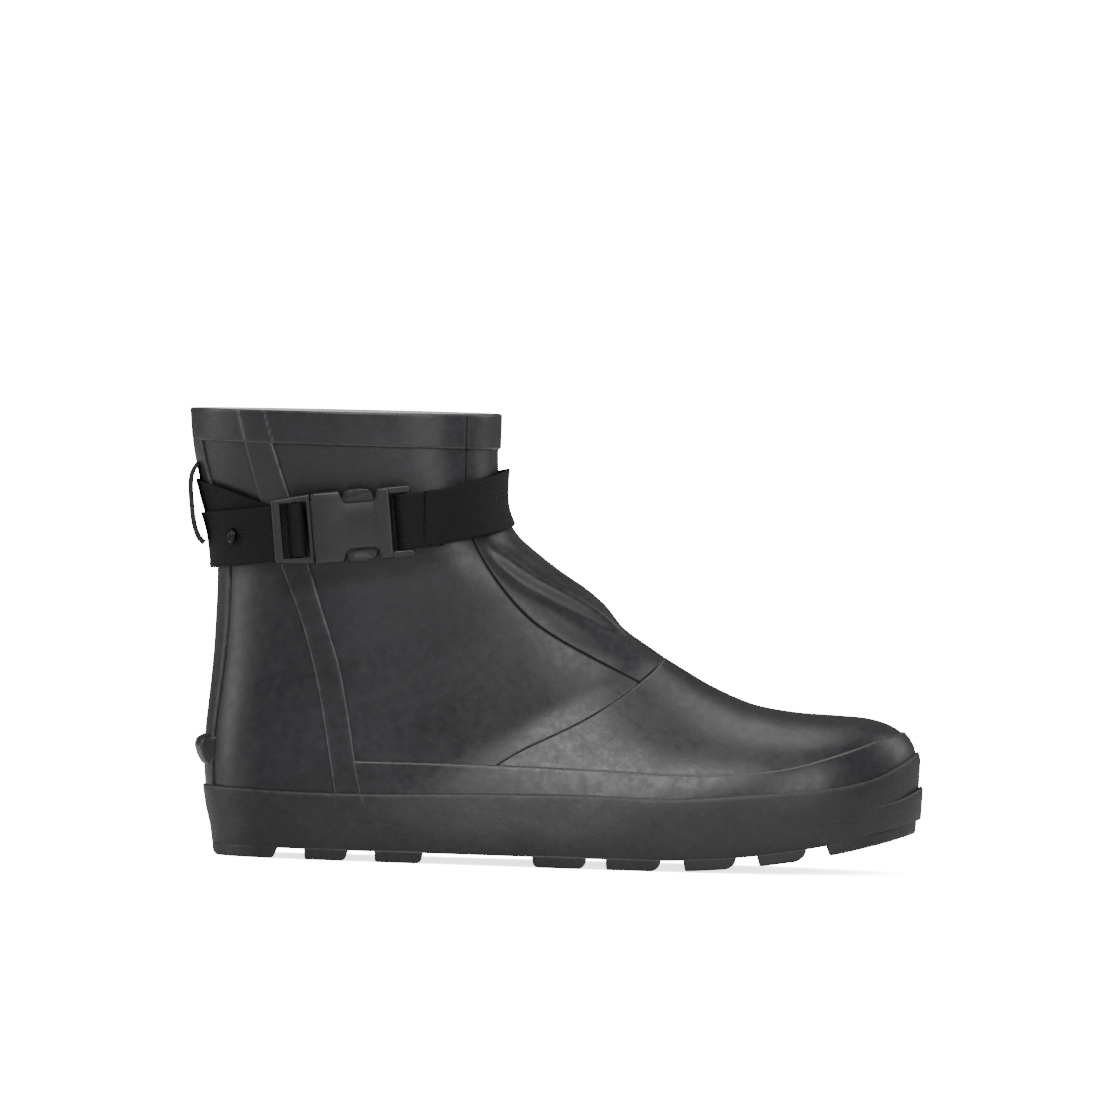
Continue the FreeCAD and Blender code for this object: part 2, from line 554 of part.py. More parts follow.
export(buckle_place(female), "buckle_female")
export(buckle_place(male), "buckle_male")
export(buckle_place(prongs[0]), "prong_upper")
export(buckle_place(prongs[1]), "prong_lower")
export(buckle_place(web_turn), "web_turn")

# Pull loop at the back: a short tape over both straps.
loop_inner = spline_edge(LOOP_FACE)
outer_face = []
for k in range(25):
    where = loop_inner.FirstParameter + (loop_inner.LastParameter - loop_inner.FirstParameter) * k / 24
    point = loop_inner.valueAt(where)
    direction = loop_inner.tangentAt(where)
    outer_face.append((point.x + direction.z * LOOP_THICK, point.z - direction.x * LOOP_THICK))
loop_outer = spline_edge(list(reversed(outer_face)))
low_end = Part.makeLine(loop_inner.Vertexes[-1].Point, loop_outer.Vertexes[0].Point)
pull_loop = side_prism([loop_inner, low_end, loop_outer], [], -LOOP_WIDTH / 2, LOOP_WIDTH / 2)
export(pull_loop.cut(overlay_out), "pull_loop")

# Rivets through both straps, the heel rubber and the lining, one on each side.
rivets = []
for sign in (-1, 1):
    angle = sign * 137.0
    for _ in range(12):
        seat = skin_at(angle, RIVET_Z, 0)
        angle += sign * (seat.x - RIVET_X) * 0.9
    top = skin_at(angle, RIVET_Z, RIVET_SEAT + WEB_THICK)
    out = top - seat
    out.normalize()
    low = seat - out * 3.8
    length = (top - low).Length + 0.4
    shank = Part.makeCylinder(RIVET_SHANK_R, length, low, out)
    head = Part.makeCylinder(RIVET_HEAD_R, 1.3, top + out * 0.3, out)
    head = head.makeFillet(0.8, [head.Edges[0]])
    washer = Part.makeCylinder(RIVET_HEAD_R, 0.5, low - out * 0.1, out)
    rivets.append(shank.multiFuse([head, washer]).removeSplitter())
export(Part.makeCompound(rivets), "strap_rivets")

export(drilled(front_strap, rivets), "front_strap")
export(drilled(back_strap, rivets), "back_strap")
export(drilled(heel_quarter, rivets), "heel_quarter")
export(drilled(lining, rivets), "lining")
export(drilled(heel_counter, rivets), "heel_counter")
export(toe_puff, "toe_puff")
export(front_gusset, "front_gusset")
export(vamp, "vamp")
export(quarter_outer, "quarter_outer")
export(quarter_inner, "quarter_inner")
export(back_stay.cut(spur), "back_stay")
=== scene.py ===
import bpy
import bmesh
import math
import numpy as np
from mathutils import Matrix, Vector


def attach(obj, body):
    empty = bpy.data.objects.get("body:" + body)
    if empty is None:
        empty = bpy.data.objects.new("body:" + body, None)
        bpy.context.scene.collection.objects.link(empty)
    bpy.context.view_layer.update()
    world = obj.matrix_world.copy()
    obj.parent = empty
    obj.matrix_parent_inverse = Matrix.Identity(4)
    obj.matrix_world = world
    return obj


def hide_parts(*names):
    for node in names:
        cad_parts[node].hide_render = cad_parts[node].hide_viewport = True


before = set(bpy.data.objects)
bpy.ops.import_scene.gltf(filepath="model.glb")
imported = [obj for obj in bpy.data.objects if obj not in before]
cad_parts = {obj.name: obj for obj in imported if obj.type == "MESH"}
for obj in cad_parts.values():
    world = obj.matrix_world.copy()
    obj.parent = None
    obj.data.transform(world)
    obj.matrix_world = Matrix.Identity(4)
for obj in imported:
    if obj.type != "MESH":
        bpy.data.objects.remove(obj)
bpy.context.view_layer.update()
MM = 0.001
ORIGIN = np.array([-107.5, 1.9, 0.0])

# ---------------------------------------------------------------- the boot's outer face
# Working coordinates are millimetres from the heel, toe towards +X, outer side towards -Y.
# Each row is one flat section of the fan that runs from the collar to the toe: front or top end (x, z),
# back or bottom end (x, z), half width, middle's y, share where it is widest, roundness of the front
# and back halves, and taper from back to front.
SECTIONS = np.array([
    (79.8, 205.0, -52.9, 204.0, 50.5, 0.0, 0.50, 2.10, 2.00, 0.10),
    (79.8, 192.7, -52.0, 191.5, 50.0, 0.0, 0.50, 2.15, 2.00, 0.12),
    (79.8, 177.0, -50.0, 174.0, 48.5, 0.0, 0.50, 2.20, 2.00, 0.18),
    (80.6, 163.0, -45.4, 155.0, 46.5, 0.0, 0.50, 2.25, 2.00, 0.26),
    (83.0, 151.5, -40.2, 138.0, 45.5, 0.0, 0.50, 2.25, 2.00, 0.28),
    (89.4, 141.0, -38.2, 122.0, 44.5, 0.0, 0.49, 2.25, 2.00, 0.28),
    (98.5, 133.0, -38.2, 105.0, 43.5, -0.3, 0.48, 2.30, 2.00, 0.20),
    (108.0, 126.0, -38.7, 88.0, 42.5, -0.6, 0.47, 2.35, 2.05, 0.10),
    (117.5, 119.8, -39.9, 70.0, 41.5, -1.0, 0.46, 2.40, 2.10, -0.02),
    (126.0, 113.0, -41.3, 52.0, 41.0, -1.5, 0.45, 2.40, 2.15, -0.12),
    (134.0, 105.5, -41.0, 34.0, 40.5, -2.0, 0.44, 2.45, 2.25, -0.20),
    (142.0, 98.6, -37.4, 15.0, 40.5, -2.5, 0.43, 2.50, 2.40, -0.28),
    (151.0, 92.4, -28.6, -8.0, 40.5, -3.0, 0.42, 2.50, 2.60, -0.33),
    (162.0, 85.8, 10.0, -14.0, 42.0, -4.0, 0.41, 2.50, 3.00, -0.31),
    (176.0, 78.2, 62.0, -14.0, 45.5, -4.6, 0.40, 2.45, 3.20, -0.26),
    (193.0, 71.5, 112.0, -14.0, 50.0, -4.0, 0.40, 2.40, 3.20, -0.19),
    (211.0, 68.6, 158.0, -12.0, 51.8, -1.6, 0.40, 2.40, 3.20, -0.14),
    (228.0, 67.7, 197.0, -9.0, 49.0, 1.4, 0.41, 2.40, 3.20, -0.10),
    (243.0, 66.6, 226.0, -5.0, 41.5, 4.4, 0.42, 2.45, 3.20, -0.08),
    (254.0, 63.0, 245.0, 0.0, 30.5, 6.8, 0.44, 2.50, 3.20, -0.04),
    (260.5, 57.0, 256.0, 6.0, 18.5, 8.2, 0.46, 2.60, 3.20, 0.00),
    (263.3, 49.5, 262.0, 14.0, 8.0, 8.8, 0.50, 2.60, 3.00, 0.00),
])
TOE_START = 15
LAST = len(SECTIONS) - 1
LUG_HEIGHT = 4.5
SPRING_START = 145.0
SPRING_RADIUS = 400.0

# Seams and edges in the side view, (x, z) from top to bottom or from heel to toe.
STAY_MIDDLE = [(-29.5, 212), (-26.2, 190), (-22.2, 176.5), (-15.1, 154.8), (-4.3, 122.8), (2.7, 103.8),
               (9.9, 80.5), (15.0, 56), (18.8, 35.5), (22.1, 20), (26.0, -4)]
STAY_BACK = [(-37.5, 212), (-31.8, 190), (-28.4, 177), (-21, 152.5), (-10.3, 122.7), (-1.9, 101.5),
             (5.4, 76), (10.5, 50), (14.2, 29), (15.7, 20), (18.5, -4)]
STAY_FRONT = [(-27.5, 212), (-20.6, 190), (-15.9, 176), (-9.2, 157), (1.7, 123), (7.4, 106),
              (14.5, 85), (19.5, 63), (23.2, 42), (26.2, 29), (28.6, 20), (33.5, -4)]
GUSSET_SEAM = [(66.0, 212), (66.1, 192), (66.2, 177), (66.5, 164), (67.5, 151), (70.4, 139),
               (75.6, 129.5), (82.3, 120), (89.6, 111.5), (97.6, 104.2), (108.8, 97.1), (120.5, 91),
               (132.1, 85.3), (143.8, 79.8)]
VAMP_SEAM = [(154.2, 90.6), (152, 87.5), (143.8, 79.8), (131, 70), (118.5, 62), (105.8, 55.4), (93, 48.8),
             (76, 37), (63.7, 26), (51, 16), (34, 4), (20, -10)]
FOXING_TOP = [(-75, 31), (-42, 30), (0, 29), (18, 29), (85, 31), (128, 31.6), (159, 31.2), (189, 33.5),
              (215, 36.2), (234, 38.8), (247, 42.6), (258, 48.6), (266, 54), (285, 66)]
RAND_TOP = [(-75, 43), (16, 43), (85, 43), (125, 42.5), (180, 42.3), (208, 45.5), (234, 53.4),
            (250, 59.2), (259, 61.6), (285, 66)]
LIP_TOP = [(205, 26), (225, 27.4), (238, 28.6), (247.5, 30.2), (258, 33.4), (267, 38), (285, 48)]
COLLAR_BOTTOM = 177.5


def spline(points, values, at):
    """Catmull-Rom values at positions in an increasing list of points."""
    points = np.asarray(points, float)
    values = np.asarray(values, float)
    at = np.asarray(at, float)
    i = np.clip(np.searchsorted(points, at, side="right") - 1, 0, len(points) - 2)
    slopes = np.gradient(values, points, axis=0)
    step = points[i + 1] - points[i]
    f = np.clip((at - points[i]) / step, 0, 1)
    if values.ndim > 1:
        f = f[..., None]
        step = step[..., None]
    return ((2 * f**3 - 3 * f**2 + 1) * values[i] + (f**3 - 2 * f**2 + f) * slopes[i] * step
            + (3 * f**2 - 2 * f**3) * values[i + 1] + (f**3 - f**2) * slopes[i + 1] * step)


SLOPES = np.gradient(SECTIONS, axis=0)
SLOPES[0] = SECTIONS[1] - SECTIONS[0]
SLOPES[-1] = SECTIONS[-1] - SECTIONS[-2]


def sections(s):
    """The numbers of the section at each position in the fan, between rows as a smooth curve."""
    s = np.clip(s, 0, LAST)
    i = np.minimum(s.astype(int), LAST - 1)
    f = (s - i)[..., None]
    return ((1 + 2 * f) * (1 - f) ** 2 * SECTIONS[i] + f * (1 - f) ** 2 * SLOPES[i]
            + f * f * (3 - 2 * f) * SECTIONS[i + 1] + f * f * (f - 1) * SLOPES[i + 1])


def smooth(f):
    f = np.clip(f, 0, 1)
    return f * f * (3 - 2 * f)


def skin(s, angle):
    """Points of the outer rubber: section s, angle 0 at the section's front or top end."""
    s, angle = np.broadcast_arrays(np.asarray(s, float), np.asarray(angle, float))
    c = np.moveaxis(sections(s), -1, 0)
    top_x, top_z, low_x, low_z, half, mid_y, widest, front, back, taper = c
    cosine = np.cos(angle)
    sine = np.sin(angle)
    exponent = 2 / np.where(cosine >= 0, front, back)
    reach = np.abs(cosine) ** exponent
    along = np.where(cosine >= 0, widest + (1 - widest) * reach, widest - widest * reach)
    y = np.sign(sine) * np.abs(sine) ** exponent * half * (1 + taper * (along - widest)) + mid_y
    return np.stack([low_x + along * (top_x - low_x), y, low_z + along * (top_z - low_z)], -1)


def unit(v):
    return v / np.maximum(np.linalg.norm(v, axis=-1, keepdims=True), 1e-12)


def run_along(points):
    """Distance along a line of points, at each of them."""
    return np.concatenate([[0], np.cumsum(np.linalg.norm(np.diff(points, axis=0), axis=1))])


def quarter_round(near, radius):
    """Height of a rounded edge of height 1: 0 at the edge, 1 from the radius inwards."""
    f = np.clip(1 - near / radius, 0, 1)
    return np.sqrt(np.maximum(1 - f * f, 0))


def layer(s, angle, distance):
    """Points that lie a distance outside the outer rubber, still in their section's plane."""
    s, angle, distance = np.broadcast_arrays(np.asarray(s, float), np.asarray(angle, float),
                                             np.asarray(distance, float))
    point = skin(s, angle)
    c = sections(s)
    plane = unit(np.stack([c[..., 1] - c[..., 3], 0 * s, c[..., 2] - c[..., 0]], -1))
    step = 2e-3
    around = skin(s, angle + step) - skin(s, angle - step)
    onward = skin(np.minimum(s + step, LAST), angle) - skin(np.maximum(s - step, 0), angle)
    flat = unit(np.cross(around, plane))
    full = unit(np.cross(onward, around))
    flat = np.where(np.sum(flat * full, -1, keepdims=True) < 0, -flat, flat)
    shift = smooth((s - TOE_START) / (LAST - TOE_START)) * distance
    reach = (distance - shift * np.sum(full * plane, -1)) / np.maximum(np.sum(flat * full, -1), 0.3)
    reach = np.clip(reach, -2.6 * np.abs(distance), 2.6 * np.abs(distance))
    return point + flat * reach[..., None] + plane * shift[..., None]


def locate(x, z):
    """Section and angle (0 to pi) of the skin's point with this side-view place."""
    x, z = np.broadcast_arrays(np.asarray(x, float), np.asarray(z, float))

    def miss(s):
        c = sections(s)
        return ((c[..., 0] - c[..., 2]) * (z - c[..., 3]) - (c[..., 1] - c[..., 3]) * (x - c[..., 2]))

    low = np.zeros_like(x)
    high = np.full_like(x, float(LAST))
    for _ in range(34):
        middle = (low + high) / 2
        ahead = miss(middle) < 0
        low = np.where(ahead, middle, low)
        high = np.where(ahead, high, middle)
    s = (low + high) / 2
    c = sections(s)
    run = np.stack([c[..., 0] - c[..., 2], c[..., 1] - c[..., 3]], -1)
    along = ((x - c[..., 2]) * run[..., 0] + (z - c[..., 3]) * run[..., 1]) / np.sum(run**2, -1)
    widest = c[..., 6]
    ahead = np.clip((along - widest) / (1 - widest), 0, 1) ** (c[..., 7] / 2)
    behind = np.clip((widest - along) / widest, 0, 1) ** (c[..., 8] / 2)
    return s, np.where(along >= widest, np.arccos(ahead), math.pi - np.arccos(behind))


def polyline(points, count=400):
    """A dense smooth line through side-view points."""
    points = np.array(points, float)
    run = run_along(points)
    return spline(run, points, np.linspace(0, run[-1], count))


def level_line(points):
    """A function that gives the height of a side-view line at x."""
    points = np.array(points, float)
    return lambda x: spline(points[:, 0], points[:, 1], np.clip(x, points[0, 0], points[-1, 0]))


foxing_top = level_line(FOXING_TOP)
rand_top = level_line(RAND_TOP)
lip_top = level_line(LIP_TOP)


def sole_level(x, height=0.0):
    """Height of a level of the sole stack, with the toe spring."""
    run = np.clip(x - SPRING_START, 0, 300)
    radius = SPRING_RADIUS - height
    return LUG_HEIGHT + SPRING_RADIUS - np.sqrt(radius**2 - run**2)


def seam(points, by_section):
    """A function that gives a seam's angle on each section, or else its section at each angle."""
    line = polyline(points)
    s, angle = locate(line[:, 0], line[:, 1])
    at, value = (s, angle) if by_section else (angle, s)
    order = np.argsort(at)
    return lambda place: np.interp(place, at[order], value[order])


# ---------------------------------------------------------------- mesh helpers
def mesh_piece(name, vertices, faces, body, slot, replaced, material, attributes=None):
    """Make a piece from points in working coordinates, with a number at each point for each attribute."""
    mesh = bpy.data.meshes.new(name)
    mesh.from_pydata(((np.asarray(vertices) + ORIGIN) * MM).tolist(), [], [list(f) for f in faces])
    mesh.validate()
    for key, values in (attributes or {}).items():
        mesh.attributes.new(key, "FLOAT", "POINT").data.foreach_set("value", np.asarray(values, np.float32))
    work = bmesh.new()
    work.from_mesh(mesh)
    bmesh.ops.recalc_face_normals(work, faces=work.faces)
    work.to_mesh(mesh)
    work.free()
    mesh.polygons.foreach_set("use_smooth", [True] * len(mesh.polygons))
    obj = bpy.data.objects.new(name, mesh)
    bpy.context.scene.collection.objects.link(obj)
    mesh.materials.append(material)
    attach(obj, body)
    if replaced:
        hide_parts(*replaced)


def grid_faces(rows, columns, start=0, wrap=False, flip=False):
    """Quads of a grid of points; wrap joins the last column to the first."""
    faces = []
    for i in range(rows - 1):
        for j in range(columns if wrap else columns - 1):
            k = (j + 1) % columns
            quad = [start + i * columns + j, start + i * columns + k,
                    start + (i + 1) * columns + k, start + (i + 1) * columns + j]
            faces.append(quad[::-1] if flip else quad)
    return faces


def capped_faces(rows, columns):
    """Faces of a tube of rings with both ends closed."""
    last = (rows - 1) * columns
    caps = [list(range(columns))[::-1], [last + j for j in range(columns)]]
    return grid_faces(rows, columns, wrap=True) + caps


def rim_pairs(rows, columns):
    """Neighbouring points round the rim of a grid."""
    rim = ([(0, j) for j in range(columns)] + [(i, columns - 1) for i in range(1, rows)]
           + [(rows - 1, j) for j in range(columns - 2, -1, -1)] + [(i, 0) for i in range(rows - 2, 0, -1)])
    ids = [i * columns + j for i, j in rim]
    return list(zip(ids, ids[1:] + ids[:1]))


def sheet_solid(outer, inner):
    """Vertices and faces of a closed piece between two grids of the same size."""
    rows, columns = outer.shape[:2]
    vertices = np.concatenate([outer.reshape(-1, 3), inner.reshape(-1, 3)])
    half = rows * columns
    faces = grid_faces(rows, columns) + grid_faces(rows, columns, half, flip=True)
    faces += [[b, a, a + half, b + half] for a, b in rim_pairs(rows, columns)]
    return vertices, faces


def sheet_piece(name, outer, inner, slot, node_name, material, edge_highlight_and_shade=None):
    """A piece of the boot between two grids; the last argument gives the outer one's points their painted
    edge highlight or painted shade.
    """
    vertices, faces = sheet_solid(outer, inner)
    tones = {} if edge_highlight_and_shade is None else {"edge_highlight_and_shade": np.concatenate([edge_highlight_and_shade.ravel(), np.zeros(edge_highlight_and_shade.size)])}
    mesh_piece(name, vertices, faces, "boot", slot, [node_name], material, tones)


def tube_solid(rings):
    """Vertices and faces of a closed ring: rings[k] are closed loops, joined in a cycle."""
    count, columns = rings.shape[:2]
    faces = []
    for i in range(count):
        for j in range(columns):
            k = (j + 1) % columns
            m = (i + 1) % count
            faces.append([i * columns + j, i * columns + k, m * columns + k, m * columns + j])
    return rings.reshape(-1, 3), faces


def edge_steps(count, rim, inside):
    """Positions from 0 to 1, packed closely near both ends: rim is the share that inside steps take."""
    ends = rim * (1 - np.cos(np.linspace(0, math.pi / 2, inside + 1)))
    middle = np.linspace(rim, 1 - rim, count - 2 * inside)
    return np.concatenate([ends[:-1], middle, (1 - ends[:-1])[::-1]])


def solve(low, high, test, steps=30):
    """Bisect elementwise for the place where test turns from positive to negative."""
    low = np.array(low, float)
    high = np.array(high, float)
    for _ in range(steps):
        middle = (low + high) / 2
        ahead = test(middle) > 0
        low = np.where(ahead, middle, low)
        high = np.where(ahead, high, middle)
    return (low + high) / 2


def top_level(x):
    return 191.4 + (x + 60) / 150 * 1.4


def height_above(s, angle, distance, level):
    """Height of layer points above a level that is given as a function of x."""
    point = layer(s, angle, distance)
    return point[..., 2] - level(point[..., 0])


def section_at_level(angle, level, distance=0.0, high=13.9):
    """Section where the layer at each angle comes down to a level."""
    angle = np.asarray(angle, float)
    return solve(np.zeros_like(angle), np.full_like(angle, high),
                 lambda s: height_above(s, angle, distance, level))


def angle_at_level(s, level, distance=0.0):
    """Angle (0 to pi) where each section comes down to a level, pi where it never does."""
    s = np.asarray(s, float)
    return solve(np.full_like(s, 1e-4), np.full_like(s, math.pi),
                 lambda angle: height_above(s, angle, distance, level))


def low_level(x):
    return sole_level(x, 6.0)


gusset_angle = seam(GUSSET_SEAM, True)
stay_angle = seam(STAY_MIDDLE, True)
vamp_section = seam(VAMP_SEAM, False)


def panel_grid(rows, columns, angle_of, end_of):
    """Sections and angles of a panel: angle_of(s, c) and end_of(angle) bound it, c runs from 0 to 1."""
    c = edge_steps(columns, 0.02, 5)
    r = edge_steps(rows, 0.01, 5)
    end = np.full(columns, 10.0)
    start = np.full(columns, 1.0)
    for _ in range(10):
        start = 0.3 * start + 0.7 * section_at_level(angle_of(start, c), top_level)
        end = 0.3 * end + 0.7 * end_of(angle_of(end, c))
    s = start[None, :] + (end - start)[None, :] * r[:, None]
    angle = angle_of(s, np.broadcast_to(c, s.shape))
    return s, angle


def lower_end(angle):
    folded = np.arccos(np.cos(angle))
    return section_at_level(folded, low_level, high=13.9)


def run_lengths(points, axis):
    """Distances in mm from both ends of each line of a grid, as two arrays."""
    step = np.linalg.norm(np.diff(points, axis=axis), axis=-1)
    zero = np.zeros_like(np.take(step, [0], axis=axis))
    run = np.concatenate([zero, np.cumsum(step, axis=axis)], axis=axis)
    return run, np.take(run, [-1], axis=axis) - run


def panel(name, s, angle, node_name, lift=None, sides=(0, 0), ends=(None, 0), seam=0.55):
    """A rubber panel of the main layer, its edges rounded down to make fine grooves at the seams.

    Each edge has a tone, 1 for a painted highlight line on its rounded edge, -1 for painted shade in the seam
    groove, and None where it runs under another part."""
    flat = layer(s, angle, 0.0)
    across, across_back = run_lengths(flat, 1)
    down, down_back = run_lengths(flat, 0)
    drop = np.zeros_like(s)
    edge_highlight_and_shade = np.zeros_like(s)
    for near, tone in ((across, sides[0]), (across_back, sides[1]), (down, ends[0]), (down_back, ends[1])):
        if tone is not None:
            drop = np.maximum(drop, seam * (1 - quarter_round(near, seam)))
            # Painted highlight where the tone is positive and painted shade where it is negative, in a narrow
            # line along the edge.
            edge_highlight_and_shade = edge_highlight_and_shade + tone * np.exp(-((near - 0.3) / 0.45) ** 2)
    d = -drop + (lift(s, angle) if lift is not None else 0)
    sheet_piece(name, layer(s, angle, d), layer(s, angle, -2.0), "upper_rubber", node_name, upper_rubber,
                edge_highlight_and_shade)


def fold_lift(s, angle):
    """Soft lengthwise folds of the gusset over the instep, ending in a small step above the vamp."""
    across = angle / np.maximum(gusset_angle(np.minimum(s, 12.2)), 0.05)
    there = smooth((s - 4.6) / 1.6) * smooth((11.2 - s) / 1.5)
    centre = np.clip(0.62 - 0.10 * (s - 7), 0.2, 0.8)
    ridge = np.exp(-((np.abs(across) - centre) / 0.12) ** 2)
    valley = np.exp(-((np.abs(across) - centre - 0.2) / 0.09) ** 2)
    inner_ridge = np.exp(-((np.abs(across) - centre + 0.33) / 0.12) ** 2)
    middle = np.exp(-(across / 0.5) ** 2)
    rim = smooth((1 - np.abs(across)) / 0.18)
    step = -1.3 * np.exp(-((s - 10.2) / 0.75) ** 2) * middle
    return rim * (there * (1.5 * ridge - 0.7 * valley + 0.6 * inner_ridge + 0.5 * middle - 0.35) + step)


# ---------------------------------------------------------------- materials
def new_material(name):
    material = bpy.data.materials.new(name)
    material.use_nodes = True
    tree = material.node_tree
    return material, tree, tree.nodes["Principled BSDF"]


def node(tree, kind, inputs=None, **settings):
    """Add a shader node; inputs are values or sockets of other nodes."""
    made = tree.nodes.new(kind)
    for key, value in settings.items():
        setattr(made, key, value)
    for key, value in (inputs or {}).items():
        if isinstance(value, bpy.types.NodeSocket):
            tree.links.new(value, made.inputs[key])
        else:
            made.inputs[key].default_value = value
    return made


def noise_at(tree, coordinates, scale, detail, roughness):
    """Return a noise value socket at a scale in waves per metre."""
    made = node(tree, "ShaderNodeTexNoise", {"Vector": coordinates, "Scale": scale, "Detail": detail,
                                             "Roughness": roughness})
    return made.outputs["Fac"]


def ramp(tree, value, stops):
    """Map a value through (position, grey) stops."""
    made = node(tree, "ShaderNodeValToRGB", {"Fac": value})
    band = made.color_ramp
    while len(band.elements) < len(stops):
        band.elements.new(0.5)
    for element, (position, colour) in zip(band.elements, stops):
        element.position = position
        element.color = (colour, colour, colour, 1)
    return made.outputs["Color"]


def mixed(tree, share, first, second, blend="MIX"):
    """Mix two colours, each a socket or a triple."""
    made = node(tree, "ShaderNodeMix", data_type="RGBA", blend_type=blend)
    for index, value in ((0, share), (6, first), (7, second)):
        if isinstance(value, bpy.types.NodeSocket):
            tree.links.new(value, made.inputs[index])
        else:
            made.inputs[index].default_value = value if index == 0 else (*value, 1)
    return made.outputs[2]


def maths(tree, operation, first, second=None, clamp=False):
    made = node(tree, "ShaderNodeMath", operation=operation, use_clamp=clamp)
    for index, value in enumerate((first, second)):
        if isinstance(value, bpy.types.NodeSocket):
            tree.links.new(value, made.inputs[index])
        elif value is not None:
            made.inputs[index].default_value = value
    return made.outputs[0]


def bumped(tree, shader, layers):
    """Chain bump layers, each (height socket, strength, depth in metres)."""
    normal = None
    for height, strength, depth in layers:
        made = node(tree, "ShaderNodeBump", {"Height": height, "Strength": strength, "Distance": depth})
        if normal is not None:
            tree.links.new(normal, made.inputs["Normal"])
        normal = made.outputs[0]
    tree.links.new(normal, shader.inputs["Normal"])


def rubber(name, base, bloom_and_highlight, roughness, cloud=0.35, grain=0.5):
    """Moulded rubber: dark satin, fine grain and cloudy bloom, with painted highlight lines along rounded
    edges and painted shade in the seam grooves.
    """
    material, tree, shader = new_material(name)
    place = node(tree, "ShaderNodeTexCoord").outputs["Object"]
    broad = noise_at(tree, place, 22, 5, 0.55)
    fine = noise_at(tree, place, 260, 4, 0.6)
    grainy = noise_at(tree, place, 2600, 2, 0.5)
    dusty = ramp(tree, broad, [(0.38, 0.0), (0.72, 1.0)])
    # The point attribute read here holds painted highlight along rounded edges where it is positive, and
    # painted shade in the seam grooves where it is negative.
    edge_highlight_and_shade = node(tree, "ShaderNodeAttribute", attribute_name="edge_highlight_and_shade").outputs["Fac"]
    # The painted edge highlight, broken up by noise, mixes towards the second colour together with the real
    # cloudy bloom.
    broken_edge_highlight = maths(tree, "MULTIPLY", edge_highlight_and_shade, ramp(tree, fine, [(0.3, 0.45), (0.65, 1.0)]), clamp=True)
    share = maths(tree, "ADD", maths(tree, "MULTIPLY", dusty, cloud), maths(tree, "MULTIPLY", broken_edge_highlight, 0.8),
                  clamp=True)
    colour = mixed(tree, share, base, bloom_and_highlight)
    colour = mixed(tree, 1.0, colour, ramp(tree, fine, [(0.25, 0.80), (0.75, 1.16)]), "MULTIPLY")
    # Painted shade: the seam grooves are mixed to near-black and made rougher.
    groove_shade = maths(tree, "MULTIPLY", edge_highlight_and_shade, -0.85, clamp=True)
    colour = mixed(tree, groove_shade, colour, (0.0006, 0.0006, 0.0006))
    tree.links.new(colour, shader.inputs["Base Color"])
    rough = maths(tree, "ADD", maths(tree, "MULTIPLY", fine, 0.30), roughness - 0.15)
    rough = maths(tree, "ADD", rough, maths(tree, "MULTIPLY", share, 0.10))
    rough = maths(tree, "ADD", rough, maths(tree, "MULTIPLY", groove_shade, 0.6), clamp=True)
    tree.links.new(rough, shader.inputs["Roughness"])
    shader.inputs["Specular IOR Level"].default_value = 0.42
    bumped(tree, shader, [(noise_at(tree, place, 20, 2, 0.5), 0.5, 0.0022),
                          (noise_at(tree, place, 60, 3, 0.5), 0.4, 0.0007),
                          (fine, 0.55 * grain, 0.00022), (grainy, 0.5 * grain, 0.00004)])
    material.diffuse_color = (*base, 1)
    return material


# The second colour is the bloom's colour and also the colour of the painted edge highlight.
upper_rubber = rubber("upper_rubber", (0.0105, 0.0094, 0.0115), (0.088, 0.082, 0.090), 0.40, 0.10)
band_rubber = rubber("band_rubber", (0.0105, 0.0094, 0.0115), (0.088, 0.082, 0.090), 0.40, 0.10)
sole_rubber = rubber("sole_rubber", (0.009, 0.0082, 0.0098), (0.050, 0.047, 0.051), 0.50, 0.15, 1.0)


def weave(name, base, light, pitch=1.5, rib=1.5):
    """Woven webbing: attributes run and cross give millimetres along and across the strap."""
    material, tree, shader = new_material(name)
    run = node(tree, "ShaderNodeAttribute", attribute_name="run").outputs["Fac"]
    cross = node(tree, "ShaderNodeAttribute", attribute_name="cross").outputs["Fac"]
    place = node(tree, "ShaderNodeTexCoord").outputs["Object"]
    shifted = maths(tree, "ADD", maths(tree, "MULTIPLY", run, math.tau / pitch), maths(
        tree, "MULTIPLY", maths(tree, "FLOOR", maths(tree, "MULTIPLY", cross, 2 / rib)), math.pi))
    twill = maths(tree, "ADD", maths(tree, "MULTIPLY", maths(tree, "SINE", shifted), 0.5), 0.5)
    yarn = maths(tree, "ABSOLUTE", maths(tree, "SINE", maths(tree, "MULTIPLY", cross, math.tau / rib)))
    fuzz = noise_at(tree, place, 900, 3, 0.6)
    broad = noise_at(tree, place, 60, 3, 0.5)
    share = maths(tree, "MULTIPLY", twill, ramp(tree, fuzz, [(0.3, 0.5), (0.7, 1.0)]))
    share = maths(tree, "MULTIPLY", share, maths(tree, "ADD", maths(tree, "MULTIPLY", broad, 0.5), 0.6))
    tree.links.new(mixed(tree, share, base, light), shader.inputs["Base Color"])
    shader.inputs["Roughness"].default_value = 0.68
    shader.inputs["Specular IOR Level"].default_value = 0.18
    shader.inputs["Sheen Weight"].default_value = 0.01
    shader.inputs["Sheen Roughness"].default_value = 0.45
    bumped(tree, shader, [(twill, 0.5, 0.00012), (yarn, 0.5, 0.00015), (fuzz, 0.2, 0.0001)])
    return material


webbing = weave("webbing", (0.0010, 0.0009, 0.0011), (0.0075, 0.0071, 0.0078))
loop_webbing = weave("loop_webbing", (0.012, 0.012, 0.013), (0.050, 0.049, 0.052), 1.0, 1.0)


